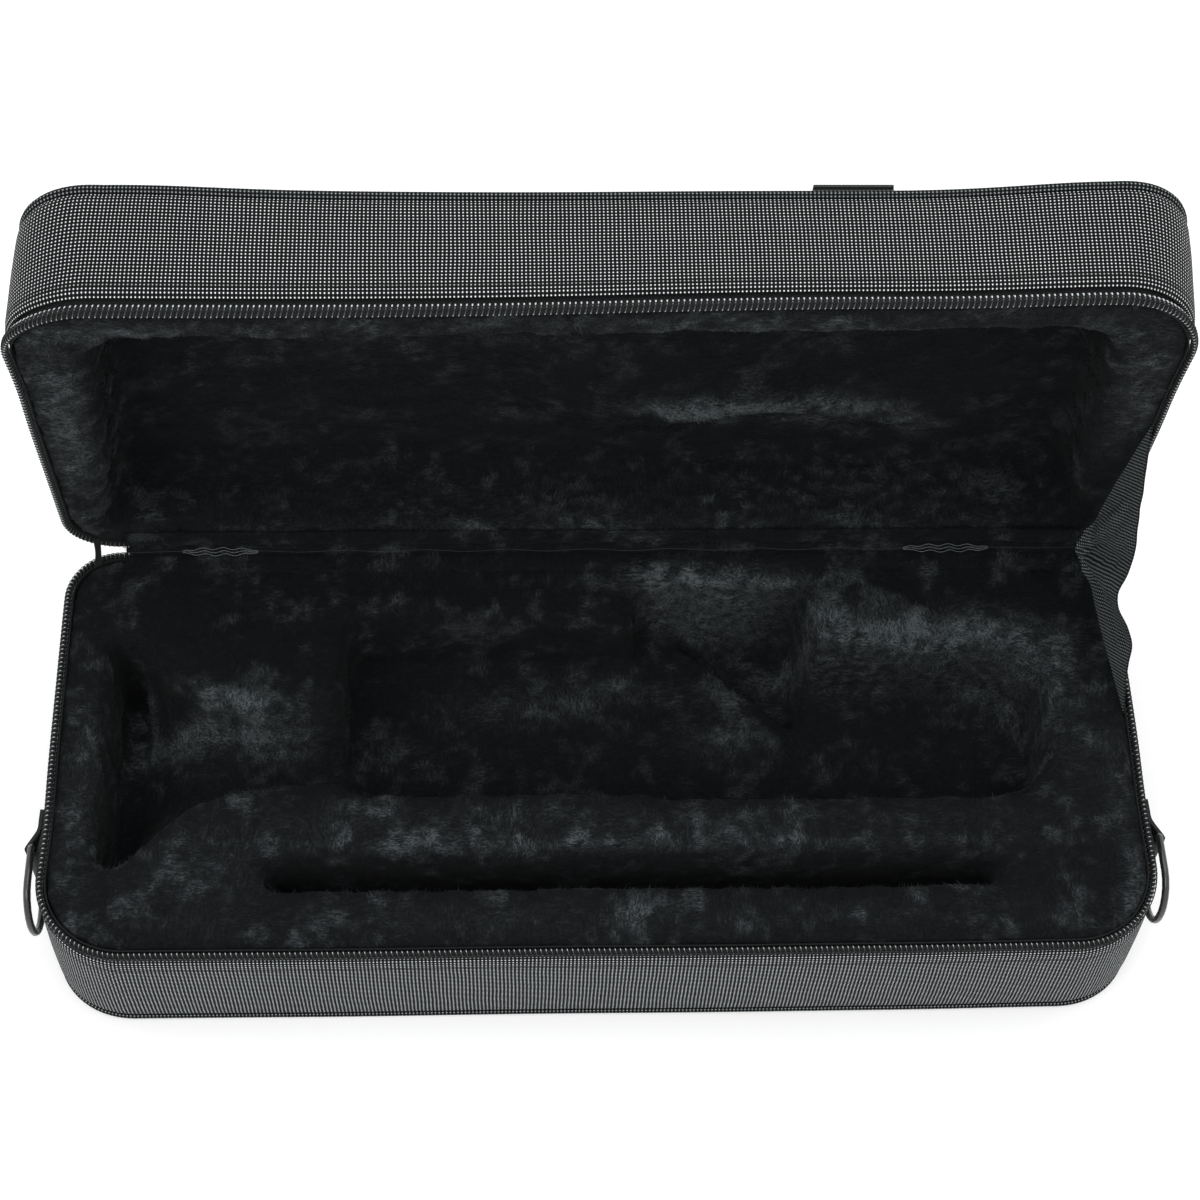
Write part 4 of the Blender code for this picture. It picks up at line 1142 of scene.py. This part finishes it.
def ribbon(name, line, thickness, rows=8, steps=4):
    """Webbing along a line of (place, direction across with half its width), given in world coordinates."""
    obj = add_grid(name, (len(line) - 1) * steps, rows)
    lay_uv(obj, lambda co: (co.x, co.y))

    def place(co):
        share = (co.x + 0.5) * (len(line) - 1)
        index = min(int(share), len(line) - 2)
        spots = [line[max(0, min(len(line) - 1, index + k))][0] for k in (-1, 0, 1, 2)]
        part = share - index
        across = line[index][1].lerp(line[index + 1][1], part)
        return curve_point(spots, part) + across * (co.y * 2.0)

    each_vertex(obj, place)
    thicken(obj, thickness, degrees=50)
    return obj


def curve_point(spots, part):
    """Point on the smooth curve through spots[1] and spots[2]."""
    before, first, second, after = spots
    line = first * 2.0 + (second - before) * part
    bend = (before * 2.0 - first * 5.0 + second * 4.0 - after) * part ** 2
    return (line + bend + (first * 3.0 - before - second * 3.0 + after) * part ** 3) * 0.5


def stitch_line(start, span, pitch=0.0032):
    """A row of stitches from start along span."""
    count = max(2, round(span.length / pitch))
    turn = span.to_track_quat("Z", "Y").to_euler()
    obj = add_rod("stitch_row", 6, 0.00034, pitch * 0.72, start + span * (0.5 / count), turn)
    repeat(obj, count, tuple(span / count))
    return obj


def make_ring(side, label):
    """D-ring from one bent wire, and the webbing tab that holds it to the side."""
    bow = RING_HALF * 0.75
    points = []
    for k in range(12):
        angle = math.pi / 2 - math.pi * k / 11
        points.append((RING_REACH - bow + bow * math.cos(angle), RING_HALF * math.sin(angle)))
    for angle in (-110, -135, -160, 160, 135, 110):
        turn = math.radians(angle)
        middle = math.copysign(RING_HALF - RING_CORNER, angle)
        points.append((RING_CORNER + RING_CORNER * math.cos(turn), middle + RING_CORNER * math.sin(turn)))
    name = f"strap_ring_wire_{label}"
    obj = add(name, bpy.ops.mesh.primitive_circle_add, vertices=len(points), radius=1.0)
    centre = rim_to_world(side * (LENGTH / 2 + RING_STAND), -RING_BACK, RING_MIDDLE, "base")
    for vertex, (reach, up) in zip(obj.data.vertices, points):
        vertex.co = centre + Vector((0.0, -reach, up))
    take(obj)
    bpy.ops.object.convert(target="CURVE")
    obj = to_wire(name, RING_WIRE, 4)
    edit_all(obj, merge(), face_out)
    smooth(obj)
    finish_piece(obj, ENAMEL, f"ring_{label}", "black_metal", f"strap_ring_{label}")

    def on_wall(s, stand, drop=0.0):
        return Vector((side * (LENGTH / 2 + stand), HINGE.y - s, HINGE.z - RING_MIDDLE - drop))

    path = [(0.146, 0.0033), (0.152, 0.0035), (0.158, 0.0040)]
    for angle in range(110, -101, -35):
        turn = math.radians(angle)
        path.append((RING_BACK + TAB_LOOP * math.cos(turn), RING_STAND + TAB_LOOP * math.sin(turn)))
    path += [(0.158, 0.0013), (0.152, 0.0012), (0.146, 0.0012)]
    line = [(on_wall(s, stand), Vector((0.0, 0.0, TAB_HALF))) for s, stand in path]
    tab = ribbon(f"ring_tab_webbing_{label}", line, WEB_THICKNESS, rows=10)
    finish_piece(tab, WEBBING, "base", "webbing", f"ring_tab_{label}")
    span = Vector((0.0, 0.0, TAB_HALF * 1.8))
    seams = [stitch_line(on_wall(s, 0.0044, TAB_HALF * 0.9), span) for s in (0.1485, 0.1545)]
    finish_piece(join(seams, f"ring_tab_seam_{label}"), DARK_THREAD, "base", "webbing")


# Handle on the lid's outer panel


def lid_point(x, y, h):
    return rim_to_world(x, y, h, "lid")


def lid_way(x, y, h):
    return lid_point(x, y, h) - HINGE


def slack(x):
    """The loop sits a little higher on the right than on the left."""
    return 0.0008 - 0.0028 * x / HANDLE_X


def make_handle():
    """The loop, of which one half is laid out and mirrored, with its two patches and the grip."""
    half = []
    up = Vector((0.0, 0.0, 1.0))
    for k in range(7):
        angle = -math.pi / 2 + math.pi * k / 6
        normal = Vector((0.0, -math.cos(angle), math.sin(angle)))
        half.append((Vector((HANDLE_X, 0.0, 0.0)) + normal * HANDLE_FOLD, normal, WEB_HALF))
    centre = Vector((HANDLE_X - HANDLE_CORNER, HANDLE_DROP - HANDLE_CORNER, HANDLE_FOLD))
    for k in range(9):
        share = k / 8
        angle = math.pi / 2 * share
        turn = Vector((math.cos(angle), math.sin(angle), 0.0)) * HANDLE_CORNER
        half.append((centre + turn, up, WEB_HALF - 0.007 * share))
    flip = Vector((-1.0, 1.0, 1.0))
    line = half + [(spot * flip, normal, width) for spot, normal, width in reversed(half)]
    path = []
    for i, (spot, normal, width) in enumerate(line):
        along = line[min(i + 1, len(line) - 1)][0] - line[max(i - 1, 0)][0]
        across = normal.cross(along).normalized() * width
        moved = spot + Vector((0.0, slack(spot.x) - HANDLE_TOP, HANDLE_STAND))
        path.append((lid_point(*moved), lid_way(*across)))
    loop = ribbon("handle_loop_webbing", path, WEB_THICKNESS)
    finish_piece(loop, WEBBING, "handle", "webbing", "handle_loop")
    make_patch(-HANDLE_X, "left")
    make_patch(HANDLE_X, "right")
    make_grip()


def make_patch(x, label):
    """An end of the loop, sewn to the panel with a box and a cross."""
    h = HEIGHT["lid"] + 0.0012
    path = [(lid_point(x, -(0.150 + 0.071 * k / 11), h), lid_way(WEB_HALF, 0.0, 0.0)) for k in range(12)]
    patch = ribbon(f"handle_patch_webbing_{label}", path, WEB_THICKNESS, rows=10)
    finish_piece(patch, WEBBING, "lid", "webbing", f"handle_patch_{label}")
    top = h + 0.0010
    corners = [(-0.016, 0.153), (0.016, 0.153), (0.016, 0.196), (-0.016, 0.196)]
    seams = []
    for first, last in ((0, 1), (1, 2), (2, 3), (3, 0), (0, 2), (1, 3)):
        start, end = [lid_point(x + corners[k][0], -corners[k][1], top) for k in (first, last)]
        seams.append(stitch_line(start, end - start))
    finish_piece(join(seams, f"handle_patch_seam_{label}"), DARK_THREAD, "lid", "webbing")


def make_grip():
    """Padded sleeve: full in the middle, drawn in at its bound ends, with a seam along it."""
    length, width, thickness = GRIP_HALF
    obj = add_rod("handle_grip_pad", 40, 1.0, 2.0)
    cut_across(obj, 2.0, 44)

    def form(co):
        end = ramp(1.0 - abs(co.x), 0.0, 0.10)
        swell = 0.84 + 0.16 * end - 0.10 * bell(abs(co.x), 0.90, 0.035)
        flat = math.copysign(abs(co.y) ** 0.8, co.y)
        seam = 1.0 - 0.08 * bell(co.y, 0.0, 0.07)
        crease = ripple(co.x * 9.0, co.y * 2.0, co.z * 2.0) * 0.05
        y = flat * width * (swell + crease) + HANDLE_DROP - HANDLE_TOP
        h = co.z * thickness * (swell + crease) * seam + HANDLE_FOLD + HANDLE_STAND
        return lid_point(co.x * length, y, h)

    each_vertex(obj, form)
    edit_all(obj, merge(), face_out)
    smooth(obj)
    finish_piece(obj, GRIP_CLOTH, "handle", "padded_grip", "handle_grip")


# Closed ends of the zip, on the back wall


def make_zip_end(side, label):
    path = []
    for k in range(14):
        x = side * (ZIP_END_X - 0.050 * k / 13)
        path.append((Vector((x, HINGE.y + 0.0010, HINGE.z - ZIP_END_DROP)), Vector((0.0, 0.0, 0.0072))))
    tape = ribbon(f"zip_end_tape_{label}", path, 0.0010, rows=6)
    finish_piece(tape, TAPE, "base", "zip_tape", f"zip_end_{label}")
    rows = []
    for row in (-1.0, 1.0):
        turn = wire_turn("closed_chain_turn", 0.0012, 0.0021)
        x = side * (ZIP_END_X - 0.002) - row * 0.0006
        turn.location = (x, HINGE.y + 0.0030, HINGE.z - ZIP_END_DROP + row * 0.0012)
        settle_transform(turn)
        repeat(turn, 18, (-side * COIL_PITCH, 0.0, 0.0))
        rows.append(turn)
    finish_piece(join(rows, f"zip_end_chain_{label}"), CHAIN, "base", "zip_coil")


# Camera, light and floor


def make_camera():
    """The photograph's camera: place, direction and roll from a fit of the bag's outlines."""
    pitch, yaw, roll = math.radians(58.69), math.radians(4.177), math.radians(3.22)
    camera = add("photo_camera", bpy.ops.object.camera_add)
    turn = Matrix.Rotation(-yaw, 4, "Z") @ Matrix.Rotation(math.pi / 2 - pitch, 4, "X")
    place = Matrix.Translation((-0.0459, HINGE.y - 0.7021, HINGE.z + 1.1028))
    camera.matrix_world = place @ turn @ Matrix.Rotation(roll, 4, "Z")
    camera.data.lens = 72.87
    camera.data.sensor_width = 36.0
    bpy.context.scene.camera = camera


def area_light(name, place, target, size, power):
    light = add(name, bpy.ops.object.light_add, type="AREA", location=place)
    light.data.energy = power
    light.data.shape = "RECTANGLE"
    light.data.size, light.data.size_y = size
    light.rotation_euler = (Vector(target) - Vector(place)).to_track_quat("-Z", "Y").to_euler()


def make_floor():
    """A pale floor that looks white to the camera, and still takes the bag's shadow."""
    floor = add("studio_floor", bpy.ops.mesh.primitive_plane_add, size=8.0)
    finish = Finish("floor_white", roughness=0.9, specular_ior_level=0.1)
    finish.colour(linear((240, 240, 240)))
    lit = finish.made_with("Principled BSDF")
    glow = finish.node("ShaderNodeEmission", {}, {"Strength": 0.34})
    both = finish.node("ShaderNodeAddShader", {}, {0: lit, 1: glow})
    seen = finish.node("ShaderNodeLightPath", out="Is Camera Ray")
    finish.fill(finish.surface, finish.node("ShaderNodeMixShader", {}, {0: seen, 1: lit, 2: both}))
    floor.data.materials.append(finish.material)
    floor.location.z = -0.0002


def make_world():
    """Soft light from all round, which the camera and reflections see as white."""
    world = bpy.data.worlds.new("studio_air")
    bpy.context.scene.world = world
    world.use_nodes = True
    air = Nodes(world.node_tree, "World Output")
    white = (1.0, 1.0, 1.0, 1.0)
    soft = air.tree.nodes["Background"]
    soft.inputs["Strength"].default_value = 0.80
    soft.inputs["Color"].default_value = white
    seen = air.node("ShaderNodeLightPath", out="Is Camera Ray")
    for kind in ("Is Glossy Ray", "Is Transmission Ray"):
        seen = seen.math("MAXIMUM", air.node("ShaderNodeLightPath", out=kind))
    bright = air.node("ShaderNodeBackground", {}, {"Color": white})
    lights = {0: seen, 1: air.made_with("Background"), 2: bright}
    air.fill(air.surface, air.node("ShaderNodeMixShader", {}, lights))


def make_studio():
    make_floor()
    make_world()
    area_light("key_softbox", (-0.5, -1.0, 1.7), (0.0, 0.0, 0.1), (1.6, 1.2), 10.0)
    area_light("top_softbox", (0.3, 0.5, 1.9), (0.0, 0.05, 0.1), (1.8, 1.4), 8.0)
    bpy.context.scene.view_settings.view_transform = "Standard"


# Bring it together


def enamel_sliders():
    """The CAD nodes that still show are the zip's sliders and pulls, which get enamel and a soft edge."""
    for obj in frame["nodes"].values():
        if obj.hide_render:
            continue
        obj.data.materials.clear()
        obj.data.materials.append(ENAMEL)
        edge = obj.modifiers.new("worn_edge", "BEVEL")
        edge.width = 0.0003
        edge.segments = 2
        edge.limit_method = "ANGLE"


def main():
    make_camera()
    make_studio()
    for half in ("base", "lid"):
        for make in (make_band, make_piping, make_panel, make_tape, make_coil, make_coil_core,
                     make_coil_stitches, make_lining):
            make(half)
    make_hinge()
    make_stay()
    make_corner_tie()
    make_handle()
    for side, label in ((-1.0, "left"), (1.0, "right")):
        make_ring(side, label)
        make_zip_end(side, label)
    enamel_sliders()


main()
